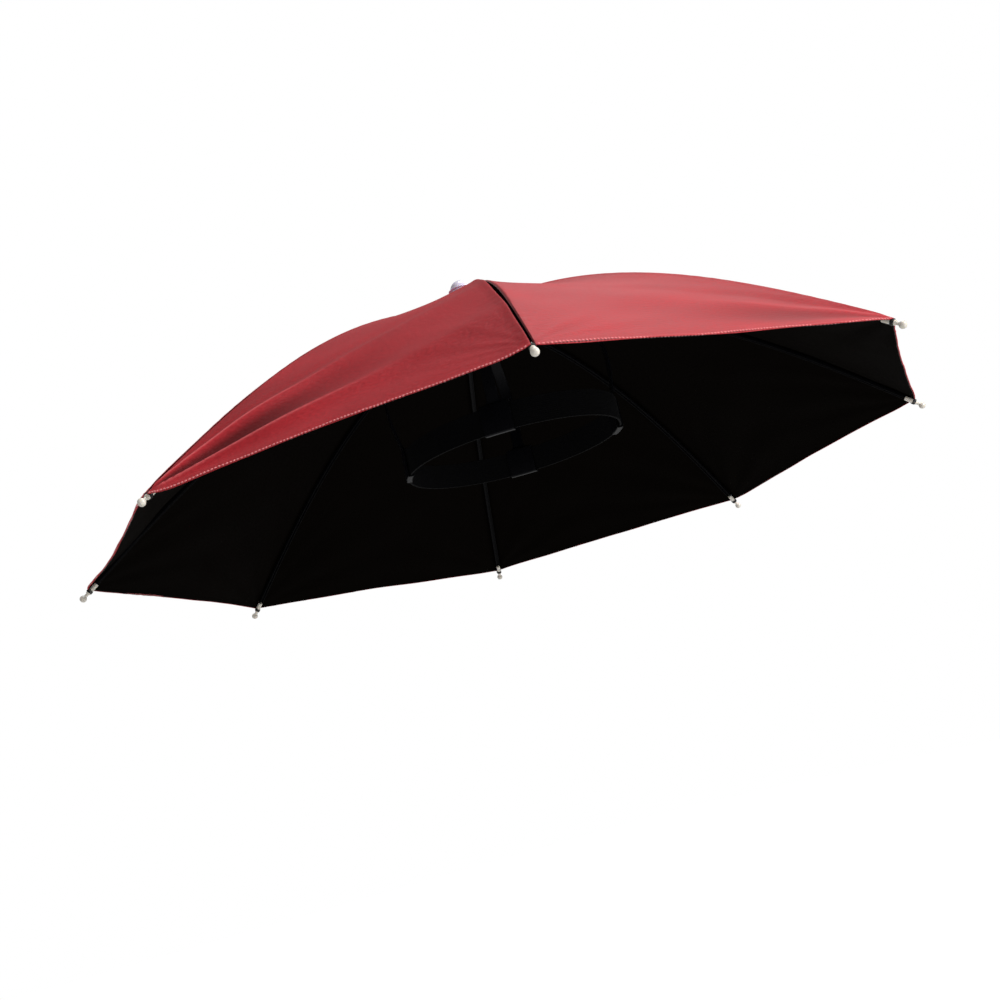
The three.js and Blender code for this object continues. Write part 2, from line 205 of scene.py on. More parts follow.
class UmbrellaHatColours(bpy.types.PropertyGroup):
    """Colours of the finishes."""

    cloth_outside: FloatVectorProperty(
        name="Cloth outside", description="Red face of the cloth", subtype="COLOR",
        size=3, min=0, max=1, default=(0.43, 0.022, 0.030))
    cloth_inside: FloatVectorProperty(
        name="Cloth inside", description="Coated face of the cloth", subtype="COLOR",
        size=3, min=0, max=1, default=(0.0023, 0.0016, 0.0011))
    thread: FloatVectorProperty(
        name="Hem thread", description="Thread on the outside of the hem", subtype="COLOR",
        size=3, min=0, max=1, default=(0.80, 0.21, 0.22))
    steel: FloatVectorProperty(
        name="Rib lacquer", description="Lacquer on the ribs", subtype="COLOR",
        size=3, min=0, max=1, default=(0.0030, 0.0029, 0.0036))
    cream: FloatVectorProperty(
        name="Tip cream", description="Plastic of the tips", subtype="COLOR",
        size=3, min=0, max=1, default=(0.84, 0.79, 0.70))
    milky: FloatVectorProperty(
        name="Cap violet", description="Milky plastic of the cap", subtype="COLOR",
        size=3, min=0, max=1, default=(0.80, 0.77, 0.93))
    black: FloatVectorProperty(
        name="Black plastic", description="Plastic of the hub and the arms", subtype="COLOR",
        size=3, min=0, max=1, default=(0.0040, 0.0040, 0.0052))
    elastic: FloatVectorProperty(
        name="Black elastic", description="Yarn of the headband", subtype="COLOR",
        size=3, min=0, max=1, default=(0.0030, 0.0030, 0.0034))


# Form of the canopy


# How each rib stands off a true octagon: the droop of its end and the bulge of its
# middle as shares of the rise, and the degrees that its end swings round.
RIB_SET = np.array((
    (0, -0.007, 0.1),
    (0.002, 0, -0.3),
    (0.011, 0, 0.8),
    (0, 0, 0),
    (-0.006, 0, 0.4),
    (-0.009, 0, -0.1),
    (0.020, -0.012, 0),
    (-0.011, -0.004, -0.6),
))


class CanopyForm:
    """The curve of the ribs and of the cloth between them, about the canopy's own axis.

    A place on a gore is given by its radius, measured along the seams, and by how far across
    it lies, from -1 at one seam to 1 at the next."""

    def __init__(self, context):
        self.canopy = context.scene.umbrella_hat_canopy
        self.ribs = context.scene.umbrella_hat_ribs
        self.half_span = self.canopy.span / 2
        self.corner_radius = self.half_span - self.canopy.corner_inset
        radii = np.linspace(0, self.half_span, 600)
        fall = self.slope(radii) / math.cos(HALF_GORE)
        pace = np.hypot(1, fall) * math.cos(HALF_GORE)
        steps = (pace[1:] + pace[:-1]) / 2 * np.diff(radii)
        self.length_table = (radii, np.concatenate([[0], np.cumsum(steps)]))

    def rise(self, radius):
        """Height of a seam over the rim's plane."""
        c = self.canopy
        q = (radius / self.half_span) ** 2
        steep = 1 - c.fullness - c.flare
        return c.rise * (1 - c.fullness * q - c.flare * q ** 2 - steep * q ** 3)

    def slope(self, radius):
        c = self.canopy
        q = (radius / self.half_span) ** 2
        steep = 1 - c.fullness - c.flare
        bend = c.fullness + 2 * c.flare * q + 3 * steep * q ** 2
        return -2 * c.rise * radius / self.half_span ** 2 * bend

    def sag(self, radius, across):
        """How far the cloth is drawn in between two ribs."""
        share = np.sin(np.minimum(1, radius / self.canopy.sag_start) * math.pi / 2)
        return self.canopy.sag * share * (1 - across ** 2)

    def length(self, radius):
        """Length of cloth along the middle of a gore, out to a radius."""
        return np.interp(radius, *self.length_table)

    def half_width(self, radius):
        return radius * math.sin(HALF_GORE)

    def gore_points(self, radius, across, proud):
        """Points of a gore whose middle runs along +X, proud of its plain outer face."""
        fall = self.slope(radius) / math.cos(HALF_GORE)
        length = np.hypot(fall, 1)
        inward = self.sag(radius, across) - proud
        x = radius * math.cos(HALF_GORE) + inward * fall / length
        y = across * x * math.tan(HALF_GORE)
        return np.stack([x, y, self.rise(radius) - inward / length], -1)

    def under_seam(self, radius, reach, half):
        """Depth under the seam that keeps a shape clear of both gores."""
        fall = -self.slope(radius)
        roof = math.hypot(1, fall / math.cos(HALF_GORE))
        facing = math.hypot(1, fall) / roof
        lean = fall * math.tan(HALF_GORE) / roof
        drawn = float(self.sag(radius, max(0, 1 - half / self.half_width(radius))))
        solid = self.ribs.under_cloth + self.ribs.clearance
        return (solid + drawn + reach + half * lean) / facing

    def seam_axes(self, radius, depth):
        """Place, outward and lengthwise directions on a seam whose plane is Y = 0."""
        slope = float(self.slope(radius))
        length = math.hypot(1, slope)
        out = Vector((-slope, 0, 1)) / length
        along = Vector((1, 0, slope)) / length
        return Vector((radius, 0, float(self.rise(radius)))) - out * depth, out, along

    def sleeve_start(self):
        pace = math.hypot(1, float(self.slope(self.corner_radius)))
        return self.corner_radius - self.ribs.sleeve_under / pace

    def seam_turn(self, index):
        """Angle of a seam from +X, counted from the one nearest the front."""
        return self.canopy.turn - math.pi / 2 + 2 * HALF_GORE * index

    def place(self, turn):
        """Matrix from the canopy's own axes, turned, to the hat's."""
        shift = Matrix.Translation((0, AXIS_Y, self.canopy.rim_level))
        return shift @ Matrix.Rotation(turn, 4, "Z")

    def settle(self, points):
        """Moves points of the ideal canopy, in the hat's axes, to where the ribs carry them."""
        points = np.array(points, float)
        x, y = points[..., 0], points[..., 1] - AXIS_Y
        angle = np.arctan2(y, x)
        seam = (angle - self.seam_turn(0)) / (2 * HALF_GORE) % GORES
        before = np.floor(seam).astype(int) % GORES
        share = (seam - np.floor(seam))[..., None]
        rows = RIB_SET[before] * (1 - share) + RIB_SET[(before + 1) % GORES] * share
        radius = np.hypot(x, y)
        reach = (radius / self.half_span) ** 2
        angle += np.radians(rows[..., 2]) * reach
        lift = rows[..., 1] * 4 * reach * (1 - reach) - rows[..., 0] * reach
        points[..., 0] = radius * np.cos(angle)
        points[..., 1] = radius * np.sin(angle) + AXIS_Y
        points[..., 2] += self.canopy.rise * lift
        return points

    def settle_mesh(self, thing):
        set_mesh_points(thing, self.settle(mesh_points(thing)))


def smooth_step(low, high, value):
    t = np.clip((value - low) / (high - low), 0, 1)
    return t * t * (3 - 2 * t)


# Cross-section of a seam, on the side before it and after it: distance from the seam in
# millimetres, and height of the cloth as a share of the groove's depth.
SEAM_BEFORE = (
    (-7.5, 0.0), (-5.5, 0.1), (-4.0, 0.3), (-2.8, 0.5), (-1.9, 0.62), (-1.2, 0.62),
    (-0.7, 0.45), (-0.45, -0.3))
SEAM_AFTER = (
    (0.0, -1.0), (0.8, -1.0), (1.7, -1.0), (2.4, -1.0), (2.6, -0.8), (3.7, -0.4),
    (4.0, 0.0), (5.2, 0.2), (8.6, 0.0))
# How dark the cloth is beside a seam, by distance from it in millimetres: black in the open of the
# seam, then painted shade on the band where the cloth slopes down into the groove.
SEAM_DARK = (
    (-0.6, 0.0), (-0.45, 1.0), (2.4, 1.0), (2.6, 0.74), (3.7, 0.62), (4.0, 0.1), (5.2, 0.0))
# The gore whose seam stands open. Its seam's width, as a share of the profile's, goes from
# wide to narrow between two radii, and the other seams have the closed width.
OPEN_GORE = 7
SEAM_WIDE, SEAM_NARROW, SEAM_CLOSED = 1.25, 0.6, 0.45
SEAM_NARROWS = (0.200, 0.325)
SEAM_FULL = 0.024            # half width of a gore where its seam profile is full size

# Pulled folds at the corners of each gore: depth in millimetres, degrees between two
# folds, degrees of the first one from the hem, and reach in millimetres.
CORNER_FOLDS = (
    ((1.5, 29, 30, 75), (1.1, 33, 24, 65)),
    ((1.2, 31, 26, 70), (1.6, 28, 34, 80)),
    ((1.7, 27, 22, 80), (1.3, 31, 30, 65)),
    ((1.1, 29, 32, 70), (1.5, 34, 26, 75)),
    ((1.6, 28, 25, 80), (1.2, 31, 28, 70)),
    ((1.3, 32, 30, 65), (1.6, 27, 24, 80)),
    ((3.0, 33, 27, 85), (0.25, 16, 30, 50)),
    ((0.4, 19, 28, 45), (1.3, 40, 8, 75)),
)
# A fold deeper than this, in millimetres, is crisp, and another is soft. Of each: rounding of
# the ridge, where its painted shade is full as a share of the way to the next ridge, and width in
# millimetres and strength of the painted highlight along the ridge.
CRISP_FROM = 2.0
CRISP_FOLD, SOFT_FOLD = (0.04, 0.12, 1.3, 0.6), (0.35, 0.45, 6.0, 0.25)
FOLD_BEND = 600              # the further out, the nearer a fold lies to the hem
FOLDS_STOP = (62, 74)        # degrees from the hem between which the folds die away
# How far the hem swells past a straight line near the two corners of each gore, in
# millimetres, and how far from the corner it swells most.
HEM_SWELLS = (
    (-0.6, 0.4), (0.3, 0.5), (0.5, 0.3), (0.4, 0.3), (0.3, 0.5), (0.4, 0.5), (4.8, 3.0),
    (3.4, 2.0))
HEM_SWELL_AT = 20
# How far the hem of each gore is drawn in between its ribs, as a share of the full scallop.
HEM_SCALLOPS = (0.1, 1, 1, 1, 1, 0.2, 1, 1)
# Gore whose hem is drawn in beside its middle: by how many millimetres, and where and how
# far along the hem as shares of half its length.
DRAWN_GORE, DRAWN_IN, DRAWN_AT, DRAWN_REACH = 7, 3.4, 0.35, 0.30
# Gores that hang lower between their ribs: how much, the radius where most, and the reach.
SLACK_GORES = {7: (0.0026, 0.155, 0.075)}
# Low waves all over the cloth: length in metres and height in millimetres.
WAVES = ((0.070, 0.22), (0.110, 0.30), (0.045, 0.12))
# Puckers along a seam: height and reach in millimetres, and pitch in metres.
PUCKER_TALL, PUCKER_REACH, PUCKER_PITCH = 0.16, 8, 0.0125
# Slack waves near the hem: height and reach in millimetres, and length in metres.
SLACK_TALL, SLACK_REACH, SLACK_LENGTH = 0.9, 45, 0.043
# Dip where a corner is tied down, and its reach, in millimetres.
TIE_DIP, TIE_REACH = 0.8, 7
GORE_PHASE = 2.4             # shift of the puckers and waves from one gore to the next
# Columns of faces between the seams of each gore: more where the folds are deep.
GORE_COLUMNS = (30, 30, 30, 30, 30, 32, 76, 50)
# Rows of points down a gore: the radii where the crown's rows end and the skirt's start, the
# rows of the three bands, and the rows of the hem in millimetres from its edge.
CROWN_END, SKIRT_START, BAND_ROWS = 0.030, 0.200, (8, 29, 66)
HEM_ROWS = (4.2, 3.6, 3.3, 2.9, 2.3, 1.6, 0.9, 0.35, 0)
# Half width and half height of a stitch, its half length as a share of the pitch, and the
# size of one inside as a share of one outside.
STITCH_WIDE, STITCH_TALL, STITCH_LONG, INNER_STITCH = 0.00070, 0.00045, 0.36, 0.4
STITCHES_STOP = 0.003        # from a corner to its first stitch
STITCH_LIFT = 0.00008        # how far a stitch stands off the cloth
CLOTH_SEED, STITCH_SEED = 7, 11


def fold_angle(across_mm, inward_mm):
    """Direction from a corner, in degrees from the hem: folds bend to the hem further out."""
    far = np.hypot(across_mm, inward_mm)
    angle = np.degrees(np.arctan2(inward_mm, np.maximum(across_mm, 1e-6)))
    return angle * (1 + far / FOLD_BEND)


def fold_look(depth):
    return CRISP_FOLD if depth > CRISP_FROM else SOFT_FOLD


def fold_fan(across_mm, inward_mm, folds):
    """Height of the folds that a corner pulls into the cloth, in millimetres."""
    depth, spacing, first, reach = folds
    rounding = fold_look(depth)[0]
    far = np.hypot(across_mm, inward_mm) / reach
    angle = fold_angle(across_mm, inward_mm)
    spread = (far * np.exp(1 - far)) ** 1.3
    window = smooth_step(4, min(first - 1, 26), angle) * (1 - smooth_step(*FOLDS_STOP, angle))
    wave = np.radians((angle - first) / spacing * 360)
    ridge = 1.9 * (1 - np.sqrt(np.sin(wave / 2) ** 2 + rounding)) - 0.85
    return depth * spread * window * ridge


def fold_shade(across_mm, inward_mm, folds):
    """Painted shade that the folds of a corner put on the cloth behind each ridge, and, below zero, a
    painted highlight along the ridge itself."""
    depth, spacing, first, reach = folds
    _, dark_from, highlight_wide, ridge_highlight = fold_look(depth)
    far = np.hypot(across_mm, inward_mm)
    turn = (fold_angle(across_mm, inward_mm) - first) / spacing
    behind = turn - np.floor(turn)
    # painted shade behind each ridge, full at first and fading toward the next ridge
    shade = smooth_step(0.03, dark_from, behind) * (1 - smooth_step(0.65, 1.0, behind))
    shade = shade * np.where(turn > 1, 0.35, 1.0) * (turn > 0)
    beside = np.radians(np.minimum(behind, 1 - behind) * spacing) * far
    # painted highlight along the ridge itself
    shade = shade - ridge_highlight * np.exp(-(beside / highlight_wide) ** 2) * (turn > -0.5) * (turn < 1.5)
    fade = smooth_step(4, 14, far) * (1 - smooth_step(0.7 * reach, 2.2 * reach, far))
    return depth / 3 * shade * fade


class CanopyCloth:
    """Grid of points over the whole canopy: rows run round it and columns run down it."""

    def __init__(self, form):
        self.form = form
        c = form.canopy
        edge = form.corner_radius
        hem = np.array(HEM_ROWS) * MM
        pace = math.hypot(1, float(form.slope(edge)) / math.cos(HALF_GORE))
        pace *= math.cos(HALF_GORE)
        ends = (c.hole, CROWN_END, SKIRT_START, edge - hem[0] / pace)
        bands = [np.linspace(*band)[:-1] for band in zip(ends, ends[1:], BAND_ROWS)]
        self.radii = np.concatenate(bands + [edge - hem / pace])
        self.random = np.random.default_rng(CLOTH_SEED)

    def columns(self, gore):
        between = np.linspace(0, 1, GORE_COLUMNS[gore] + 1)[1:-1]
        return ([("after", s) for s, _ in SEAM_AFTER] + [("between", t) for t in between]
                + [("before", s) for s, _ in SEAM_BEFORE])

    def after_width(self, gore, radius):
        """Width of the far side of a gore's seam, as a share of the profile's."""
        if gore != OPEN_GORE:
            return SEAM_CLOSED
        return SEAM_WIDE + (SEAM_NARROW - SEAM_WIDE) * smooth_step(*SEAM_NARROWS, radius)

    def across(self, gore, radius, kind, value):
        """Place of a column across its gore at each row, from -1 to 1."""
        half = self.form.half_width(radius)
        scale = np.minimum(1, half / SEAM_FULL) * MM / half
        start = -1 + SEAM_AFTER[-1][0] * scale * self.after_width(gore, radius)
        end = 1 + SEAM_BEFORE[0][0] * scale
        if kind == "after":
            return -1 + value * scale * self.after_width(gore, radius)
        if kind == "before":
            return 1 + value * scale
        eased = 0.45 * value + 0.55 * (0.5 - 0.5 * math.cos(math.pi * value))
        return start + (end - start) * eased

    def from_corners(self, radius, across):
        """Distances along the hem from a gore's two corners, and in from it, in millimetres."""
        form = self.form
        half = form.half_width(radius)
        corner_half = form.half_width(form.corner_radius)
        inward = form.length(form.corner_radius) - form.length(radius)
        return ((across * half + corner_half) / MM, (corner_half - across * half) / MM,
                inward / MM)

    def shade(self, gore, radius, across):
        """Painted shade that the folds at both corners of a gore put on it, and, below zero, their
        painted ridge highlights.
        """
        from_start, from_end, inward = self.from_corners(radius, across)
        start, end = CORNER_FOLDS[gore]
        return fold_shade(from_start, inward, start) + fold_shade(from_end, inward, end)

    def proud(self, gore, radius, across):
        """Height of the cloth over its plain form, in metres."""
        form = self.form
        half = form.half_width(radius)
        scale = np.minimum(1, half / SEAM_FULL)
        after = (1 + across) * half / MM
        before = (across - 1) * half / MM
        groove = form.canopy.groove * scale
        width = self.after_width(gore, radius)
        height = groove * np.interp(after / scale / width, *zip(*SEAM_AFTER))
        profile = SEAM_BEFORE + ((0.0, -1.0),)
        lip = np.interp(before / scale, *zip(*profile))
        height = np.where(before > -8, groove * lip, height)

        down = form.length(radius)
        from_start, from_end, inward = self.from_corners(radius, across)
        start, end = CORNER_FOLDS[gore]
        folds = fold_fan(from_start, inward, start) + fold_fan(from_end, inward, end)

        near = np.minimum(after, -before)
        phase = GORE_PHASE * gore
        pull = np.exp(-near / PUCKER_REACH) * (1 - np.exp(-near / 2))
        beat = np.sin(down / PUCKER_PITCH * 2 * math.pi + phase + 1.5 * np.sin(down / 0.05))
        uneven = 0.5 + 0.5 * np.sin(down / 0.083 * 2 * math.pi + phase)
        folds += PUCKER_TALL * pull * beat * uneven * np.minimum(1, radius / 0.1)

        waves = 0
        for size, tall in WAVES:
            lean, shift, _ = self.random.uniform(0, 2 * math.pi, 3)
            crest = across * half * math.cos(lean) + down * math.sin(lean)
            waves = waves + tall * np.sin(crest / size * 2 * math.pi + shift)
        calm = smooth_step(0, 22, near) * smooth_step(0.03, 0.12, radius)
        slack = SLACK_TALL * np.exp(-inward / SLACK_REACH)
        slack *= np.sin(across * half / SLACK_LENGTH + phase)
        folds += calm * (waves + slack)

        corner = np.hypot(np.minimum(from_start, from_end), inward)
        folds -= TIE_DIP * np.exp(-(corner / TIE_REACH) ** 2)
        if gore in SLACK_GORES:
            depth, middle, reach = SLACK_GORES[gore]
            folds -= depth / MM * np.exp(-((radius - middle) / reach) ** 2) * (1 - across ** 2)
        return height + folds * MM

    def hem_shift(self, gore, across):
        """How far the hem stands in from the line between two corners, in metres."""
        half = self.form.half_width(self.form.corner_radius)
        shift = self.form.canopy.hem_scallop * HEM_SCALLOPS[gore] * (1 - across ** 2)
        for swell, away in zip(HEM_SWELLS[gore], (1 + across, 1 - across)):
            share = away * half / (HEM_SWELL_AT * MM)
            shift = shift - swell * MM * share * np.exp(1 - share)
        if gore == DRAWN_GORE:
            shift = shift + DRAWN_IN * MM * np.exp(-((across - DRAWN_AT) / DRAWN_REACH) ** 2)
        return shift

    def gore(self, index):
        """Outer points, flat places, seam darkness with its painted shade, and the folds' painted
        shade and ridge highlight of one gore, without its last edge."""
        form = self.form
        places, flats, darks, shades = [], [], [], []
        draws = self.random.bit_generator.state
        for kind, value in self.columns(index):
            self.random.bit_generator.state = draws
            across = self.across(index, self.radii, kind, value)
            drawn = self.hem_shift(index, across)
            radius = self.radii - drawn * (self.radii / form.corner_radius) ** 4
            proud = self.proud(index, radius, across)
            places.append(form.gore_points(radius, across, proud))
            half = form.half_width(radius)
            flats.append(np.stack([across * half, form.length(radius)], -1))
            scale = np.minimum(1, half / SEAM_FULL)
            beside = 0 if kind == "between" else np.interp(value, *zip(*SEAM_DARK))
            darks.append(beside * np.minimum(1, scale * 3))
            shades.append(self.shade(index, radius, across))
        return tuple(np.stack(part, 1) for part in (places, flats, darks, shades))

    def sheet(self):
        """The outer face of the whole canopy, in the hat's axes."""
        points, flats, darks, shades = [], [], [], []
        for index in range(GORES):
            place, flat, dark, shade = self.gore(index)
            turn = self.form.seam_turn(index) + HALF_GORE
            matrix = np.array(self.form.place(turn))
            points.append(self.form.settle(place @ matrix[:3, :3].T + matrix[:3, 3]))
            flats.append(flat)
            darks.append(dark)
            shades.append(shade)
        joined = (np.concatenate(part, 1) for part in (points, darks, shades))
        return flats, *joined


def grid_normals(points):
    """Unit normals of a grid that closes on itself from its last column to its first."""
    down = np.gradient(points, axis=0)
    round_it = np.roll(points, -1, 1) - np.roll(points, 1, 1)
    normal = np.cross(down, round_it)
    normal /= np.linalg.norm(normal, axis=-1, keepdims=True)
    return normal


# Mesh tools


def deselect():
    for thing in list(bpy.context.selected_objects):
        thing.select_set(False)


def activate(thing):
    deselect()
    thing.select_set(True)
    bpy.context.view_layer.objects.active = thing


def add_object(name, data):
    thing = bpy.data.objects.new(name, data)
    bpy.context.scene.collection.objects.link(thing)
    return thing


def last_added(name):
    thing = bpy.context.active_object
    thing.name = name
    thing.data.name = name
    return thing


def apply_modifier(thing, kind, **settings):
    activate(thing)
    modifier = thing.modifiers.new(kind.title(), kind)
    for key, value in settings.items():
        setattr(modifier, key, value)
    bpy.ops.object.modifier_apply(modifier=modifier.name)


def round_edges(thing, width, segments, degrees, **settings):
    """Rounds the edges that turn by more than an angle."""
    apply_modifier(thing, "BEVEL", width=width, segments=segments, limit_method="ANGLE",
                   angle_limit=math.radians(degrees), **settings)


def apply_place(thing):
    activate(thing)
    bpy.ops.object.transform_apply(location=True, rotation=True, scale=True)


def select_edges(thing, wanted):
    """Selects, in edit mode, the edges whose two ends pass a test, and no others."""
    bpy.ops.object.mode_set(mode="EDIT")
    bpy.ops.mesh.select_mode(type="EDGE")
    bpy.ops.mesh.select_all(action="DESELECT")
    bpy.ops.object.mode_set(mode="OBJECT")
    mesh = thing.data
    for edge in mesh.edges:
        a, b = (mesh.vertices[i].co for i in edge.vertices)
        edge.select = bool(wanted(a, b))
    bpy.ops.object.mode_set(mode="EDIT")


def select_faces(thing, wanted):
    """Selects, in edit mode, the faces whose middle and normal pass a test."""
    bpy.ops.object.mode_set(mode="EDIT")
    bpy.ops.mesh.select_mode(type="FACE")
    bpy.ops.mesh.select_all(action="DESELECT")
    bpy.ops.object.mode_set(mode="OBJECT")
    for face in thing.data.polygons:
        face.select = bool(wanted(face.center, face.normal))
    bpy.ops.object.mode_set(mode="EDIT")


def leave_edit():
    bpy.ops.object.mode_set(mode="OBJECT")


def mesh_points(thing):
    count = len(thing.data.vertices)
    points = np.empty(count * 3)
    thing.data.vertices.foreach_get("co", points)
    return points.reshape(count, 3)


def set_mesh_points(thing, points):
    thing.data.vertices.foreach_set("co", np.asarray(points, np.float32).ravel())
    thing.data.update()


def turn_outward():
    """Turns every face of a closed shape outwards, in edit mode."""
    bpy.ops.mesh.select_all(action="SELECT")
    bpy.ops.mesh.normals_make_consistent(inside=False)


def outward(thing):
    """Merges doubles and turns every face of a closed shape outwards."""
    activate(thing)
    bpy.ops.object.mode_set(mode="EDIT")
    bpy.ops.mesh.select_all(action="SELECT")
    bpy.ops.mesh.remove_doubles(threshold=1e-6)
    turn_outward()
    leave_edit()


def smooth_shading(thing, degrees):
    activate(thing)
    bpy.ops.object.shade_smooth_by_angle(angle=math.radians(degrees))


def give_material(thing, *materials):
    thing.data.materials.clear()
    for material in materials:
        thing.data.materials.append(material)


def copy_piece(source, name, matrix):
    """Copies a finished mesh to another place, with the place in the mesh."""
    copy = add_object(name, source.data.copy())
    copy.data.name = name
    copy.data.transform(matrix)
    return copy


def repeat_mesh(name, source, matrices):
    """One mesh that holds a copy of a small shape at every matrix."""
    points = mesh_points(source)
    loops = [tuple(face.vertices) for face in source.data.polygons]
    spots, faces = [], []
    for number, matrix in enumerate(matrices):
        grid = np.array(matrix)
        spots.append(points @ grid[:3, :3].T + grid[:3, 3])
        faces += [tuple(number * len(points) + i for i in loop) for loop in loops]
    mesh = bpy.data.meshes.new(name)
    mesh.from_pydata(np.concatenate(spots).tolist(), [], faces)
    bpy.data.objects.remove(source)
    return add_object(name, mesh)


def point_values(mesh, name, values):
    """Keeps a number at each point of a mesh, for its materials to read."""
    layer = mesh.attributes.new(name, "FLOAT", "POINT")
    layer.data.foreach_set("value", values.astype(np.float32).ravel())


def basis(origin, x_axis, y_axis, z_axis):
    """Matrix that carries X, Y and Z to the given directions at a place."""
    matrix = Matrix((x_axis, y_axis, z_axis)).transposed().to_4x4()
    matrix.translation = origin
    return matrix


def finish_piece(thing, slot, *nodes):
    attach(thing, "root")
    if nodes:
        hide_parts(*nodes)


# Materials


CLOTH_THREADS, ELASTIC_THREADS = 2400, 1300      # per metre


def new_group(name, inputs, outputs):
    group = bpy.data.node_groups.new(name, "ShaderNodeTree")
    for label, kind, default in inputs:
        socket = group.interface.new_socket(label, in_out="INPUT", socket_type=kind)
        if default is not None:
            socket.default_value = default
    for label, kind in outputs:
        group.interface.new_socket(label, in_out="OUTPUT", socket_type=kind)
    return group


class NodeTree:
    """Adds nodes to a tree and joins them."""

    def __init__(self, tree):
        self.tree = tree

    def add(self, kind, settings=None, **inputs):
        node = self.tree.nodes.new(kind)
        for key, value in (settings or {}).items():
            setattr(node, key, value)
        for key, value in inputs.items():
            self.feed(node, key, value)
        return node

    def feed(self, node, key, value):
        """Links or sets an input by name, with underscores for spaces, or as at0 by number."""
        label = key.replace("_", " ")
        socket = node.inputs[int(key[2:])] if key.startswith("at") else node.inputs[label]
        if isinstance(value, bpy.types.NodeSocket):
            self.tree.links.new(value, socket)
        else:
            socket.default_value = value

    def maths(self, operation, a, b=0.0):
        node = self.add("ShaderNodeMath", {"operation": operation}, at0=a, at1=b)
        return node.outputs[0]

    def grey(self, value):
        node = self.add("ShaderNodeCombineColor", None, Red=value, Green=value, Blue=value)
        return node.outputs[0]

    def attribute(self, name):
        return self.add("ShaderNodeAttribute", {"attribute_name": name}).outputs["Fac"]

    def mix(self, factor, a, b, blend="MIX"):
        node = self.tree.nodes.new("ShaderNodeMix")
        node.data_type = "RGBA"
        node.blend_type = blend
        for key, value in (("at0", factor), ("at6", a), ("at7", b)):
            self.feed(node, key, value)
        return node.outputs[2]

    def between(self, value, low, high, to_low=0.0, to_high=1.0):
        """Maps a range of values to another."""
        node = self.add("ShaderNodeMapRange", None, Value=value)
        node.inputs["From Min"].default_value = low
        node.inputs["From Max"].default_value = high
        node.inputs["To Min"].default_value = to_low
        node.inputs["To Max"].default_value = to_high
        return node.outputs[0]


def weave_group():
    """Height of a plain weave on a flat cloth, and the share of each thread that shows."""
    group = new_group(
        "Plain Weave",
        [("Vector", "NodeSocketVector", None), ("Threads per metre", "NodeSocketFloat", 2200.0)],
        [("Height", "NodeSocketFloat"), ("Thread", "NodeSocketFloat")])
    nodes = NodeTree(group)
    start = nodes.add("NodeGroupInput")
    end = nodes.add("NodeGroupOutput")
    parts = nodes.add("ShaderNodeSeparateXYZ", None, Vector=start.outputs["Vector"])
    turns = nodes.maths("MULTIPLY", start.outputs["Threads per metre"], math.pi)
    warp = nodes.maths("SINE", nodes.maths("MULTIPLY", parts.outputs["X"], turns))
    weft = nodes.maths("SINE", nodes.maths("MULTIPLY", parts.outputs["Y"], turns))
    over = nodes.maths("MULTIPLY", warp, weft)
    nodes.feed(end, "Height", nodes.between(over, -1, 1))
    nodes.feed(end, "Thread", nodes.maths("ABSOLUTE", over))
    return group


def mottle_group():
    """Soft uneven colour and a fine unevenness of the surface."""
    group = new_group(
        "Soft Mottle",
        [("Vector", "NodeSocketVector", None), ("Colour", "NodeSocketColor", (0.5, 0.5, 0.5, 1)),
         ("Scale", "NodeSocketFloat", 12.0), ("Fine", "NodeSocketFloat", 11.0),
         ("Amount", "NodeSocketFloat", 0.2)],
        [("Colour", "NodeSocketColor"), ("Height", "NodeSocketFloat"),
         ("Value", "NodeSocketFloat")])
    nodes = NodeTree(group)
    start = nodes.add("NodeGroupInput")
    end = nodes.add("NodeGroupOutput")
    broad = nodes.add("ShaderNodeTexNoise", None, Vector=start.outputs["Vector"],
                      Scale=start.outputs["Scale"], Detail=3.0)
    fine_scale = nodes.maths("MULTIPLY", start.outputs["Scale"], start.outputs["Fine"])
    fine = nodes.add("ShaderNodeTexNoise", None, Vector=start.outputs["Vector"],
                     Scale=fine_scale, Detail=4.0)
    both = nodes.maths("ADD", nodes.maths("MULTIPLY", broad.outputs[0], 0.45),
                       nodes.maths("MULTIPLY", fine.outputs[0], 0.55))
    centred = nodes.maths("SUBTRACT", both, 0.5)
    swing = nodes.maths("MULTIPLY", centred, start.outputs["Amount"])
    gain = nodes.maths("ADD", nodes.maths("MULTIPLY", swing, 4.0), 1.0)
    colour = nodes.mix(1.0, start.outputs["Colour"], nodes.grey(gain), "MULTIPLY")
    nodes.feed(end, "Colour", colour)
    nodes.feed(end, "Height", fine.outputs[0])
    nodes.feed(end, "Value", both)
    return group


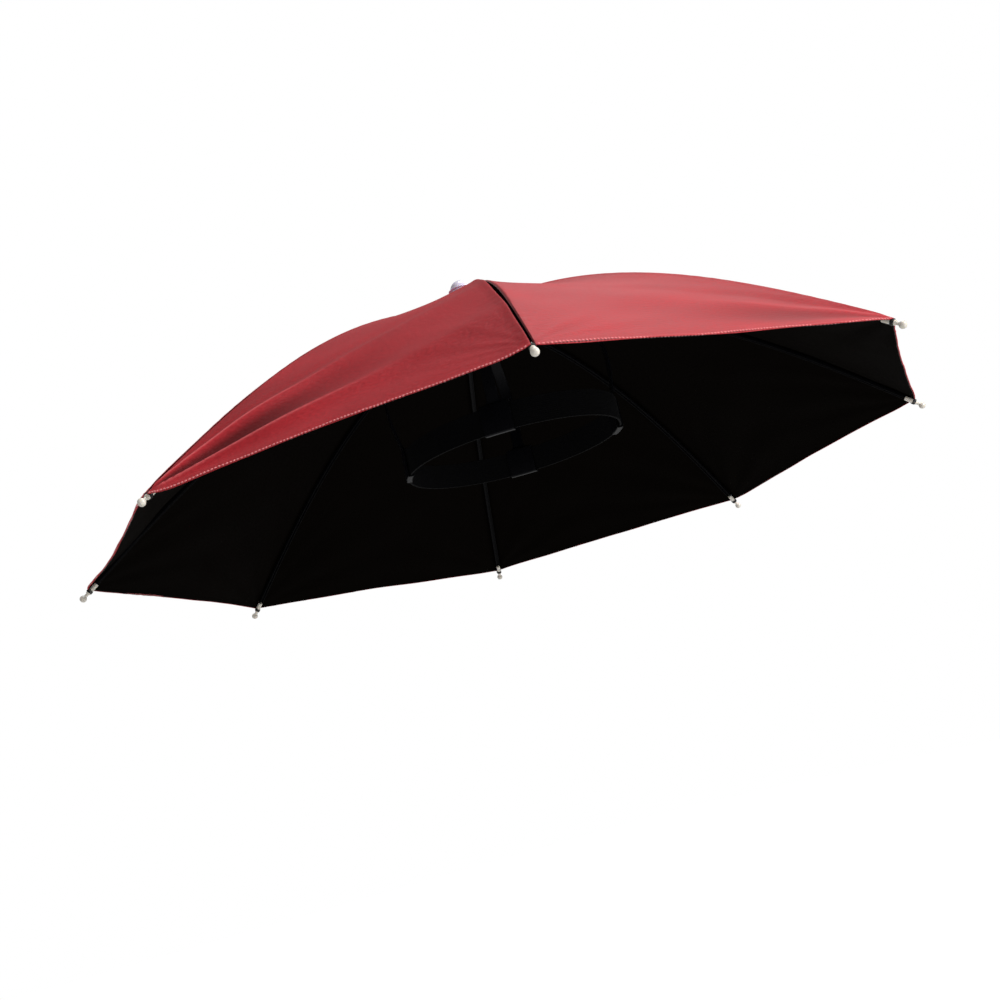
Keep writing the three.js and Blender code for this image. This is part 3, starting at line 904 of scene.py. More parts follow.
class Finishes:
    """Every material of the hat, made once."""

    def __init__(self, context):
        self.colours = context.scene.umbrella_hat_colours
        self.groups = {"weave": weave_group(), "mottle": mottle_group()}

    def start(self, name, **shader):
        """A material whose shader has the given constants, with underscores for spaces."""
        material = bpy.data.materials.new(name)
        material.use_nodes = True
        tree = material.node_tree
        tree.nodes.clear()
        nodes = NodeTree(tree)
        surface = nodes.add("ShaderNodeBsdfPrincipled")
        for key, value in shader.items():
            surface.inputs[key.replace("_", " ")].default_value = value
        output = nodes.add("ShaderNodeOutputMaterial")
        tree.links.new(surface.outputs[0], output.inputs["Surface"])
        return material, nodes, surface

    def group(self, nodes, key, **inputs):
        node = nodes.add("ShaderNodeGroup", {"node_tree": self.groups[key]})
        for label, value in inputs.items():
            nodes.feed(node, label, value)
        return node

    def bump(self, nodes, surface, height, distance, strength=1.0, under=None):
        node = nodes.add("ShaderNodeBump", None, Height=height,
                         Strength=strength, Distance=distance)
        if under is not None:
            nodes.feed(node, "Normal", under)
        nodes.feed(surface, "Normal", node.outputs[0])
        return node.outputs[0]

    def rgba(self, colour):
        return (*colour, 1.0)

    def cloth(self, name, colour, roughness, mottle, specular):
        """A woven cloth that follows its UV map, with its colour still to be fed."""
        material, nodes, surface = self.start(name, Specular_IOR_Level=specular)
        flat = nodes.add("ShaderNodeUVMap", {"uv_map": "cloth"}).outputs[0]
        shade = self.group(nodes, "mottle", Vector=flat, Colour=self.rgba(colour),
                           Scale=14.0, Fine=26.0, Amount=mottle)
        weave = self.group(nodes, "weave", Vector=flat)
        weave.inputs["Threads per metre"].default_value = CLOTH_THREADS
        thread = nodes.between(weave.outputs["Thread"], 0, 1, 0.90, 1.04)
        woven = nodes.mix(1.0, shade.outputs["Colour"], nodes.grey(thread), "MULTIPLY")
        rough = nodes.between(shade.outputs["Value"], 0.3, 0.7, roughness - 0.05, roughness + 0.05)
        nodes.feed(surface, "Roughness", rough)
        fine = nodes.add("ShaderNodeBump", None, Height=weave.outputs["Height"],
                         Strength=0.35, Distance=0.00012)
        self.bump(nodes, surface, shade.outputs["Height"], 0.0006, 0.5, fine.outputs[0])
        return material, nodes, surface, woven

    def cloth_outside(self):
        material, nodes, surface, woven = self.cloth(
            "cloth_red", self.colours.cloth_outside, roughness=0.44, mottle=0.32, specular=0.08)
        pale = self.rgba([min(1, v * 1.25 + 0.02) for v in self.colours.cloth_outside])
        colour = woven
        for values, share, other in (
                # black in the open of a seam, and painted shade on the band beside it
                ("seam", 1.0, (0.006, 0.0, 0.0, 1)),
                # painted shade behind each fold's ridge
                ("folds", 0.88, (0.06, 0.001, 0.002, 1)),
                # painted highlight along each fold's ridge
                ("folds", -1.2, (0.80, 0.17, 0.18, 1)),
                ("hem", 0.35, pale)):
            factor = nodes.maths("MULTIPLY", nodes.attribute(values), share)
            colour = nodes.mix(factor, colour, other)
        nodes.feed(surface, "Base Color", colour)
        return material

    def cloth_inside(self):
        material, nodes, surface, woven = self.cloth(
            "cloth_black", self.colours.cloth_inside, roughness=0.7, mottle=0.14, specular=0.01)
        nodes.feed(surface, "Base Color", woven)
        return material

    def thread(self, name, colour):
        material, nodes, surface = self.start(
            name, Roughness=0.6, Specular_IOR_Level=0.35, Sheen_Weight=0.2)
        place = nodes.add("ShaderNodeTexCoord").outputs["Object"]
        shade = self.group(nodes, "mottle", Vector=place, Colour=self.rgba(colour),
                           Scale=160.0, Amount=0.25)
        nodes.feed(surface, "Base Color", shade.outputs["Colour"])
        twist = nodes.add("ShaderNodeTexWave", {"bands_direction": "DIAGONAL"},
                          Vector=place, Scale=1400.0, Distortion=1.0)
        self.bump(nodes, surface, twist.outputs["Fac"], 0.0001, 0.6)
        return material

    def moulded(self, name, colour, roughness, scale, amount, grain, **shader):
        """A moulded or lacquered surface with a fine unevenness."""
        material, nodes, surface = self.start(name, **shader)
        place = nodes.add("ShaderNodeTexCoord").outputs["Object"]
        shade = self.group(nodes, "mottle", Vector=place, Colour=self.rgba(colour),
                           Scale=scale, Amount=amount)
        nodes.feed(surface, "Base Color", shade.outputs["Colour"])
        rough = nodes.between(shade.outputs["Value"], 0.3, 0.7, roughness - 0.06, roughness + 0.06)
        nodes.feed(surface, "Roughness", rough)
        self.bump(nodes, surface, shade.outputs["Height"], grain, 0.5)
        return material

    def elastic(self):
        material, nodes, surface = self.start("elastic_black", Specular_IOR_Level=0.06)
        flat = nodes.add("ShaderNodeUVMap", {"uv_map": "cloth"}).outputs[0]
        shade = self.group(nodes, "mottle", Vector=flat, Colour=self.rgba(self.colours.elastic),
                           Scale=60.0, Amount=0.3)
        nodes.feed(surface, "Base Color", shade.outputs["Colour"])
        nodes.feed(surface, "Roughness", nodes.between(shade.outputs["Value"], 0.3, 0.7, 0.7, 0.85))
        knit = self.group(nodes, "weave", Vector=flat)
        knit.inputs["Threads per metre"].default_value = ELASTIC_THREADS
        fine = nodes.add("ShaderNodeBump", None, Height=knit.outputs["Height"],
                         Strength=0.6, Distance=0.0002)
        self.bump(nodes, surface, shade.outputs["Height"], 0.0003, 0.4, fine.outputs[0])
        return material


FINISHES = {}


def finish(name):
    """A material of the hat by name, made when it is first asked for."""
    if "maker" not in FINISHES:
        FINISHES["maker"] = Finishes(bpy.context)
    if name not in FINISHES:
        maker = FINISHES["maker"]
        c = maker.colours
        makers = {
            "cloth_outside": maker.cloth_outside,
            "cloth_inside": maker.cloth_inside,
            "seam_black": lambda: maker.moulded(
                "black_in_seam", (0.0006, 0.0004, 0.0004), roughness=0.9, scale=200.0,
                amount=0.3, grain=0.0001, Specular_IOR_Level=0.0),
            "hem_thread": lambda: maker.thread("thread_pale_red", c.thread),
            "black_thread": lambda: maker.thread("thread_black", c.steel),
            "lacquer": lambda: maker.moulded(
                "lacquer_black", c.steel, roughness=0.42, scale=90.0, amount=0.2,
                grain=0.0001, Specular_IOR_Level=0.05),
            "cream": lambda: maker.moulded(
                "plastic_cream", c.cream, roughness=0.28, scale=220.0, amount=0.12,
                grain=0.00008, Specular_IOR_Level=0.5, Coat_Weight=0.3, Coat_Roughness=0.1,
                Subsurface_Weight=0.15, Subsurface_Radius=(0.002, 0.0015, 0.001)),
            "milky": lambda: maker.moulded(
                "plastic_milky", c.milky, roughness=0.22, scale=80.0, amount=0.08,
                grain=0.00003, Coat_Weight=0.4, Coat_Roughness=0.06,
                Subsurface_Weight=0.4, Subsurface_Radius=(0.004, 0.004, 0.005)),
            "hub_black": lambda: maker.moulded(
                "plastic_black_satin", c.black, roughness=0.45, scale=120.0, amount=0.3,
                grain=0.0001, Specular_IOR_Level=0.2),
            "arm_black": lambda: maker.moulded(
                "plastic_black_gloss", c.black, roughness=0.30, scale=60.0, amount=0.25,
                grain=0.00012, Specular_IOR_Level=0.10),
            "elastic": maker.elastic,
        }
        FINISHES[name] = makers[name]()
    return FINISHES[name]


# Pieces


class PieceOperator(bpy.types.Operator):
    """Shared by every piece of the hat."""

    bl_options = {"REGISTER", "UNDO"}


class UMBRELLA_HAT_OT_canopy(PieceOperator):
    """Make the cloth: eight gores in one sheet, with sunken seams and a turned hem"""

    bl_idname = "umbrella_hat.canopy"
    bl_label = "Canopy"

    def execute(self, context):
        form = CanopyForm(context)
        cloth = CanopyCloth(form)
        flats, outer, dark, shade = cloth.sheet()
        from_edge = form.length(form.corner_radius) - form.length(cloth.radii)
        grid = self.two_faces(form.canopy, outer, from_edge)
        rises = self.diagonals(flats, len(outer), len(grid))
        mesh = bpy.data.meshes.new("canopy")
        mesh.from_pydata(grid.reshape(-1, 3).tolist(), [], self.triangles(rises).tolist())
        canopy = add_object("canopy", mesh)
        give_material(
            canopy, finish("cloth_outside"), finish("cloth_inside"), finish("seam_black"))
        self.share_out_materials(mesh, form.canopy, from_edge, dark)
        self.keep_values(mesh, form.canopy, from_edge, dark, shade)
        self.lay_flat(mesh, flats, rises)
        activate(canopy)
        bpy.ops.object.mode_set(mode="EDIT")
        turn_outward()
        leave_edit()
        smooth_shading(canopy, 50)
        finish_piece(canopy, "canopy_cloth", *[f"canopy_panel_{i + 1}" for i in range(GORES)])
        self.declare(canopy, form)
        return {"FINISHED"}

    def two_faces(self, c, outer, from_edge):
        """Rows of points down the outer face, round the hem's edge and up the inner face."""
        turned = 1 - smooth_step(c.hem_width - 0.0003, c.hem_width, from_edge)
        layers = c.cloth + c.hem_layers * turned
        normals = grid_normals(outer)
        if normals[0, 0, 2] < 0:
            normals = -normals
        inner = outer - normals * layers[:, None, None]
        outline = outer[-1] - outer[-2]
        outline /= np.linalg.norm(outline, axis=-1, keepdims=True)
        rim = (outer[-1] + inner[-1]) / 2 + outline * layers[-1] * 0.4
        return np.concatenate([outer, rim[None], inner[::-1]])

    def diagonals(self, flats, rows, total):
        """Which squares are cut upwards: the cuts of a gore's two halves mirror each other."""
        first_half = np.concatenate([np.arange(f.shape[1]) < f.shape[1] / 2 for f in flats])
        rises = np.repeat(first_half[None], total, 0)
        rises[rows:] ^= True
        return rises

    def triangles(self, rises):
        index = np.arange(rises.size).reshape(rises.shape)
        below = np.roll(index, -1, 0)
        across, corner = np.roll(index, -1, 1), np.roll(below, -1, 1)
        falling = np.stack([index, across, corner, index, corner, below], -1)
        rising = np.stack([index, across, below, across, corner, below], -1)
        return np.where(rises[..., None], rising, falling).reshape(-1, 3)

    def share_out_materials(self, mesh, c, from_edge, dark):
        """Red outside and round the hem, black inside, and black in the open of a seam."""
        rows, columns = dark.shape
        red_rows = np.concatenate([np.ones(rows + 1), from_edge[::-1] < c.inner_hem]) > 0
        red_faces = red_rows & np.roll(red_rows, -1)
        red_faces[-1] = False
        slots = np.repeat(np.where(red_faces, 0, 1)[:, None], columns, 1)
        black_faces = (dark > 0.9) & (np.roll(dark, -1, 1) > 0.9)
        slots[:rows - 1][black_faces[:-1]] = 2
        mesh.polygons.foreach_set("material_index", np.repeat(slots.ravel(), 2).astype(np.int32))

    def keep_values(self, mesh, c, from_edge, dark, shade):
        """What the red cloth's finish reads: the seams' black and painted shade, the folds' painted
        shade and ridge highlight, and the hem.
        """
        hem = 1 - smooth_step(c.hem_width - 0.0004, c.hem_width, from_edge)
        hem = np.concatenate([hem, [1], hem[::-1]])
        # black in the open of each seam, and painted shade on the band beside it
        point_values(mesh, "seam", np.concatenate([dark, dark[-1:] * 0, dark[::-1] * 0]))
        # painted shade behind each fold's ridge and, below zero, a painted highlight on the ridge
        point_values(mesh, "folds", np.concatenate([shade, shade[-1:], shade[::-1] * 0]))
        point_values(mesh, "hem", np.repeat(hem, dark.shape[1]))

    def lay_flat(self, mesh, flats, rises):
        """Lays each gore out in the UV map, in metres."""
        layer = mesh.uv_layers.new(name="cloth")
        spread = []
        start = 0
        for number, flat in enumerate(flats):
            last = flat[:, :1] * (-1, 1)
            around = np.concatenate([flat, last], 1) + (0.31 * number, 0.17 * number)
            around = np.concatenate([around, around[-1:], around[::-1]])
            lower = np.roll(around, -1, 0)
            a, b, d, e = around[:, :-1], around[:, 1:], lower[:, 1:], lower[:, :-1]
            turned = rises[:, start:start + flat.shape[1], None, None]
            spread.append(np.where(turned, np.stack([a, b, e, b, d, e], 2),
                                   np.stack([a, b, d, a, d, e], 2)))
            start += flat.shape[1]
        layer.data.foreach_set("uv", np.concatenate(spread, 1).astype(np.float32).ravel())

    def declare(self, canopy, form):
        """Gores cut head to tail from one strip: works out their widths, their steps and the strip's
        length, and keeps none of them.
        """
        edge = form.corner_radius
        radii = np.linspace(form.canopy.hole, edge, 400)
        widths = 2 * form.half_width(radii)
        steps = np.diff(form.length(radii))
        strip = 2 * form.half_width(edge) * (GORES + 1) / 2
        float(form.length(edge))


class UMBRELLA_HAT_OT_hem_stitches(PieceOperator):
    """Sew the hem: a row of stitches outside and one inside"""

    bl_idname = "umbrella_hat.hem_stitches"
    bl_label = "Hem stitches"

    def execute(self, context):
        form = CanopyForm(context)
        cloth = CanopyCloth(form)
        c = form.canopy
        draws = []
        for index in range(GORES):
            draws.append(cloth.random.bit_generator.state)
            cloth.gore(index)
            cloth.random.bit_generator.state = draws[-1]
        pace = math.hypot(1, float(form.slope(form.corner_radius)) / math.cos(HALF_GORE))
        row = form.corner_radius - c.stitch_inset / (pace * math.cos(HALF_GORE))
        fall = float(form.slope(row)) / math.cos(HALF_GORE)
        out = Vector((-fall, 0, 1)).normalized()
        gore_width = 2 * form.half_width(row)
        count = int((gore_width - 2 * STITCHES_STOP) / c.stitch_pitch)
        reach = 1 - STITCHES_STOP / gore_width * 2
        outside, inside = [], []
        wobble = np.random.default_rng(STITCH_SEED)
        for index in range(GORES):
            across = np.linspace(-reach, reach, count + 1) + wobble.normal(0, 0.0012, count + 1)
            offset = wobble.normal(0, 0.00012, count + 1)
            radius = row - cloth.hem_shift(index, across) + offset
            cloth.random.bit_generator.state = draws[index]
            proud = cloth.proud(index, radius, across)
            under = proud - c.cloth - c.hem_layers
            place = form.place(form.seam_turn(index) + HALF_GORE)
            outside += self.stitches(
                form, place, out, form.gore_points(radius, across, proud), STITCH_LIFT, 1)
            inside += self.stitches(
                form, place, out, form.gore_points(radius, across, under), -STITCH_LIFT,
                INNER_STITCH)
        self.sew("hem_stitches_outside", outside, "hem_thread")
        self.sew("hem_stitches_inside", inside, "black_thread")
        return {"FINISHED"}

    def stitches(self, form, place, out, points, lift, flatness):
        """Where each stitch of a row goes, as matrices for one stitch along X."""
        spots = []
        for start, end in zip(points[:-1], points[1:]):
            along = Vector(end - start)
            stitch = along.normalized()
            side = out.cross(stitch).normalized()
            spot = place @ basis(
                Vector((start + end) / 2) + out * lift, stitch * along.length * STITCH_LONG,
                side * STITCH_WIDE * flatness, out * STITCH_TALL * flatness)
            spot.translation = Vector(form.settle(spot.translation))
            spots.append(spot)
        return spots

    def sew(self, name, matrices, material):
        deselect()
        bpy.ops.mesh.primitive_uv_sphere_add(segments=6, ring_count=6, radius=1)
        stitch = last_added("stitch")
        stitch.data.transform(Matrix.Rotation(math.pi / 2, 4, "Y"))
        points = mesh_points(stitch)
        points[:, 1:] *= 1 + 0.25 * np.abs(points[:, :1])
        set_mesh_points(stitch, points)
        seam = repeat_mesh(name, stitch, matrices)
        smooth_shading(seam, 60)
        give_material(seam, finish(material))
        finish_piece(seam, "canopy_cloth")


class UMBRELLA_HAT_OT_ribs(PieceOperator):
    """Make the eight channel ribs that run under the seams"""

    bl_idname = "umbrella_hat.ribs"
    bl_label = "Ribs"

    def execute(self, context):
        form = CanopyForm(context)
        r = form.ribs
        deselect()
        bpy.ops.mesh.primitive_grid_add(x_subdivisions=72, y_subdivisions=2, size=2)
        rib = last_added("rib_steel_1")
        rib.scale = (0.5, r.width / 2, 1)
        rib.location = (0.5, 0, 0)
        apply_place(rib)
        brink = r.width / 2 * 0.98
        select_edges(rib, lambda a, b: abs(a.y) > brink and abs(b.y) > brink)
        bpy.ops.mesh.extrude_region_move(
            TRANSFORM_OT_translate={"value": (0, 0, -r.depth)})
        turn_outward()
        leave_edit()
        top = max(rib.data.polygons, key=lambda f: f.center.z)
        inward = -1 if top.normal.z > 0 else 1
        apply_modifier(rib, "SOLIDIFY", thickness=r.wall, offset=inward, use_even_offset=True)
        outward(rib)
        round_edges(rib, 0.00022, 2, 50)
        end = form.sleeve_start() - r.clearance
        placed = []
        for x, y, z in mesh_points(rib):
            share = min(max(x, 0), 1)
            radius = r.root + (end - r.root) * share
            depth = form.under_seam(radius, 0, r.width / 2)
            origin, out, along = form.seam_axes(radius, depth)
            placed.append(origin + Vector((0, y, 0)) + out * z + along * (x - share))
        set_mesh_points(rib, placed)
        outward(rib)
        smooth_shading(rib, 40)
        give_material(rib, finish("lacquer"))
        for number in range(1, GORES):
            place = form.place(form.seam_turn(number))
            other = copy_piece(rib, f"rib_steel_{number + 1}", place)
            form.settle_mesh(other)
            finish_piece(other, "rib_metal", f"rib_{number + 1}")
        rib.data.transform(form.place(form.seam_turn(0)))
        form.settle_mesh(rib)
        finish_piece(rib, "rib_metal", "rib_1")
        return {"FINISHED"}


# Turns of thread round a tip, in millimetres from the cloth's corner.
WRAP_LEVELS = (-1.3, -0.8, -0.35, 0.1, 0.5)


def tip_piece(r, ball_at):
    """A tip along +Z: its sleeve starts at the origin and the ball ends it."""
    length = r.sleeve_under + r.sleeve_proud
    deselect()
    bpy.ops.mesh.primitive_cylinder_add(
        vertices=28, radius=r.sleeve_radius, depth=length, location=(0, 0, length / 2))
    sleeve = last_added("tip")
    apply_place(sleeve)
    select_faces(sleeve, lambda middle, normal: normal.z > 0.9)
    bpy.ops.mesh.inset(thickness=r.sleeve_radius - r.neck_radius)
    reach = ball_at - length - r.ball_radius * 0.75
    bpy.ops.mesh.extrude_region_move(TRANSFORM_OT_translate={"value": (0, 0, reach)})
    leave_edit()
    rims = (0.0, length)
    select_edges(sleeve, lambda a, b: a.z == b.z and any(abs(a.z - h) < 1e-6 for h in rims)
                 and a.xy.length > r.sleeve_radius * 0.95)
    bpy.ops.mesh.bevel(offset=r.sleeve_radius * 0.22, segments=3)
    leave_edit()
    select_faces(sleeve, lambda middle, normal: normal.z < -0.9)
    bpy.ops.mesh.inset(thickness=r.sleeve_radius * 0.35)
    bpy.ops.mesh.extrude_region_move(
        TRANSFORM_OT_translate={"value": (0, 0, r.sleeve_under * 0.45)})
    leave_edit()
    deselect()
    bpy.ops.mesh.primitive_uv_sphere_add(
        segments=32, ring_count=18, radius=r.ball_radius, location=(0, 0, ball_at))
    ball = last_added("tip_ball")
    apply_place(ball)
    points = mesh_points(ball)
    low = points[:, 2] < ball_at
    tuck = (points[:, 2] - ball_at) / r.ball_radius
    points[low, :2] *= (1 - 0.12 * tuck[low, None] ** 2)
    brow = ball_at + r.ball_radius * 0.93
    high = points[:, 2] > brow
    points[high, 2] = brow + (points[high, 2] - brow) * 0.4
    set_mesh_points(ball, points)
    activate(sleeve)
    ball.select_set(True)
    bpy.ops.object.join()
    smooth_shading(sleeve, 35)
    return sleeve


class UMBRELLA_HAT_OT_tips(PieceOperator):
    """Make the tips and the thread that ties a corner of the cloth to each"""

    bl_idname = "umbrella_hat.tips"
    bl_label = "Tips"

    def execute(self, context):
        form = CanopyForm(context)
        r = form.ribs
        pace = math.hypot(1, float(form.slope(form.corner_radius)))
        ball_at = r.sleeve_under + form.canopy.corner_inset * pace
        depth = form.under_seam(form.corner_radius, r.sleeve_radius, 0)
        origin, out, along = form.seam_axes(form.sleeve_start(), depth)
        stand = basis(origin, out, along.cross(out), along)
        tip = tip_piece(r, ball_at)
        give_material(tip, finish("cream"))
        tip.data.transform(stand)
        deselect()
        bpy.ops.mesh.primitive_torus_add(
            major_segments=28, minor_segments=8, major_radius=r.sleeve_radius + 0.0002,
            minor_radius=0.00034)
        turn = last_added("thread_turn")
        wraps = []
        for number, level in enumerate(WRAP_LEVELS):
            lean = Matrix.Rotation(math.radians(9 * (-1) ** number), 4, "X")
            lift = Matrix.Translation((0.0001, 0, r.sleeve_under + level * MM))
            wraps.append(stand @ lift @ lean)
        wraps.append(stand @ Matrix.Translation((0.0009, 0, r.sleeve_under - 0.0012))
                     @ Matrix.Rotation(math.radians(48), 4, "Y") @ Matrix.Scale(0.9, 4))
        ties = repeat_mesh("corner_thread", turn, wraps)
        smooth_shading(ties, 60)
        give_material(ties, finish("black_thread"))
        for number in range(GORES):
            place = form.place(form.seam_turn(number))
            one = copy_piece(tip, f"tip_{number + 1}", place)
            form.settle_mesh(one)
            finish_piece(one, "tip_plastic", f"rib_tip_{number + 1}")
            tie = copy_piece(ties, f"corner_thread_{number + 1}", place)
            form.settle_mesh(tie)
            finish_piece(tie, "canopy_cloth")
        bpy.data.objects.remove(tip)
        bpy.data.objects.remove(ties)
        return {"FINISHED"}


def softened_copy(node, name, width):
    """A copy of a solid with its doubles merged, its flats joined and its edges rounded."""
    copy = add_object(name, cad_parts[node].data.copy())
    copy.data.name = name
    activate(copy)
    bpy.ops.object.mode_set(mode="EDIT")
    bpy.ops.mesh.select_all(action="SELECT")
    bpy.ops.mesh.remove_doubles(threshold=1e-5)
    bpy.ops.mesh.dissolve_limited(angle_limit=math.radians(1))
    leave_edit()
    round_edges(copy, width, 2, 40, use_clamp_overlap=True)
    smooth_shading(copy, 35)
    return copy


class UMBRELLA_HAT_OT_hub(PieceOperator):
    """Make the notched hub under the crown and the plate that clamps the arms"""

    bl_idname = "umbrella_hat.hub"
    bl_label = "Hub and plate"

    def execute(self, context):
        hub = softened_copy("hub", "crown_hub", 0.00035)
        give_material(hub, finish("hub_black"))
        finish_piece(hub, "hub_plastic", "hub")
        plate = softened_copy("harness_plate", "arm_plate", 0.0005)
        give_material(plate, finish("hub_black"))
        finish_piece(plate, "hub_plastic", "harness_plate")
        return {"FINISHED"}


class UMBRELLA_HAT_OT_cap(PieceOperator):
    """Make the milky round-topped cap on the post"""

    bl_idname = "umbrella_hat.cap"
    bl_label = "Top cap"

    def execute(self, context):
        h = context.scene.umbrella_hat_harness
        low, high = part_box("top_cap")
        flange = h.cap_radius + h.cap_flange
        deselect()
        bpy.ops.mesh.primitive_cylinder_add(
            vertices=64, radius=flange, depth=h.cap_flange_height,
            location=(0, AXIS_Y, low.z + h.cap_flange_height / 2))
        cap = last_added("clear_cap")
        apply_place(cap)
        select_faces(cap, lambda middle, normal: normal.z > 0.9)
        bpy.ops.mesh.inset(thickness=h.cap_flange)
        tall = high.z - low.z - h.cap_flange_height
        bpy.ops.mesh.extrude_region_move(TRANSFORM_OT_translate={"value": (0, 0, tall)})
        leave_edit()
        select_edges(cap, lambda a, b: min(a.z, b.z) > high.z - 1e-5)
        bpy.ops.mesh.bevel(offset=h.cap_radius * 0.93, segments=14)
        leave_edit()
        rim = low.z + h.cap_flange_height
        select_edges(cap, lambda a, b: max(a.z, b.z) < rim + 1e-5
                     and abs(a.z - b.z) < 1e-6
                     and (a - Vector((0, AXIS_Y, a.z))).length > flange * 0.98)
        bpy.ops.mesh.bevel(offset=h.cap_flange_height * 0.3, segments=3)
        leave_edit()
        select_faces(cap, lambda middle, normal: normal.z < -0.9)
        bpy.ops.mesh.inset(thickness=flange * 0.94 - h.post_radius - FIT_GAP)
        bpy.ops.mesh.extrude_region_move(
            TRANSFORM_OT_translate={"value": (0, 0, tall - h.cap_radius + 0.0022)})
        leave_edit()
        smooth_shading(cap, 40)
        give_material(cap, finish("milky"))
        finish_piece(cap, "cap_plastic", "top_cap")
        return {"FINISHED"}


# Headband and arms


# How much wider an arm's foot is, and the share of the arm's length where it starts to be.
ARM_FLARE, ARM_FLARE_FROM = 0.55, 0.955


class BandForm:
    """The oval of the headband and the way of an arm to it."""

    def __init__(self, context):
        self.h = context.scene.umbrella_hat_harness
        self.half_width = (self.h.head_width + self.h.band_wall) / 2
        self.half_length = (self.h.head_length + self.h.band_wall) / 2
        self.dip = Matrix.Rotation(self.h.band_dip, 3, "X")

    def axes(self, turn):
        """Place, and the directions away from the head, along the band and up it."""
        origin = Vector((self.half_width * math.cos(turn), self.half_length * math.sin(turn), 0))
        along = Vector((-self.half_width * math.sin(turn), self.half_length * math.cos(turn), 0))
        pace = along.length
        along.normalize()
        away = Vector((along.y, -along.x, 0))
        up = Vector((0, 0, 1))
        origin, away, along, up = (self.dip @ v for v in (origin, away, along, up))
        return origin, away, along, up, pace

    def turn_at(self, angle):
        """The oval's own parameter at an angle seen from its middle."""
        return math.atan2(math.sin(angle) * self.half_width, math.cos(angle) * self.half_length)

    def arm_route(self, angle, steps):
        """Points of an arm from the hub to its loop, each with its side direction."""
        h = self.h
        origin, _, along, up, _ = self.axes(self.turn_at(angle))
        base = origin + up * (h.band_height / 2 + (FIT_GAP + h.loop_above) / 2)
        hub_foot = PLATE_HIGH.z + FIT_GAP + h.arm_thick / 2
        axis = Vector((0, AXIS_Y, 0))
        heading = base - axis
        heading.z = 0
        length = heading.length
        heading.normalize()
        side = Vector((heading.y, -heading.x, 0))
        foot_side = along * (1 if along.dot(side) > 0 else -1)
        front = self.axes(self.turn_at(h.arm_turn - math.pi / 2))[0]
        spread = math.atan2(abs(front.x), AXIS_Y - front.y)
        root = (h.arm_width / 2 + FIT_GAP) / math.tan(min(spread, math.pi / 4))
        plate_radius = (PLATE_HIGH.x - PLATE_LOW.x) / 2
        route = []
        for i in range(6):
            distance = root + (plate_radius - root) * i / 6
            route.append((axis + heading * distance + Vector((0, 0, hub_foot)), 0.0))
        for i in range(steps + 1):
            down = math.pi / 2 * i / steps
            reach = math.sin(down) ** (2 / h.arm_fullness)
            climb = max(0.0, math.cos(down)) ** (2 / h.arm_fullness) if i < steps else 0.0
            bow = h.arm_bow * reach * math.sin(math.pi * climb)
            distance = plate_radius + (length - plate_radius) * reach + bow
            height = base.z + (hub_foot - base.z) * climb
            route.append((axis + heading * distance + Vector((0, 0, height)), i / steps))
        even = even_route(route, steps)
        frames = []
        for i, (place, twist) in enumerate(even):
            before = even[max(0, i - 1)][0]
            after = even[min(len(even) - 1, i + 1)][0]
            tangent = (after - before).normalized()
            across = side.lerp(foot_side, twist)
            across = (across - tangent * across.dot(tangent)).normalized()
            frames.append((place, across, across.cross(tangent), tangent))
        return frames


def even_route(route, steps):
    """Spaces the points of a route evenly, keeping the value that goes with each."""
    places = np.array([tuple(place) for place, _ in route])
    values = np.array([value for _, value in route])
    far = np.concatenate([[0], np.cumsum(np.linalg.norm(np.diff(places, axis=0), axis=1))])
    marks = np.linspace(0, far[-1], steps + 1)
    columns = [np.interp(marks, far, places[:, k]) for k in range(3)]
    twist = np.interp(marks, far, values)
    return [(Vector(spot), float(t)) for *spot, t in zip(*columns, twist)]


def bend_along(thing, frames):
    """Lays a straight strip, whose length runs from X = 0 to 1, along a route."""
    count = len(frames) - 1
    placed = []
    for x, y, z in mesh_points(thing):
        share = min(max(x, 0), 1)
        i = min(int(share * count), count - 1)
        t = share * count - i
        place, across, out, tangent = (
            a.lerp(b, t) for a, b in zip(frames[i], frames[i + 1]))
        placed.append(place + across.normalized() * y + out.normalized() * z
                      + tangent * (x - share))
    set_mesh_points(thing, placed)


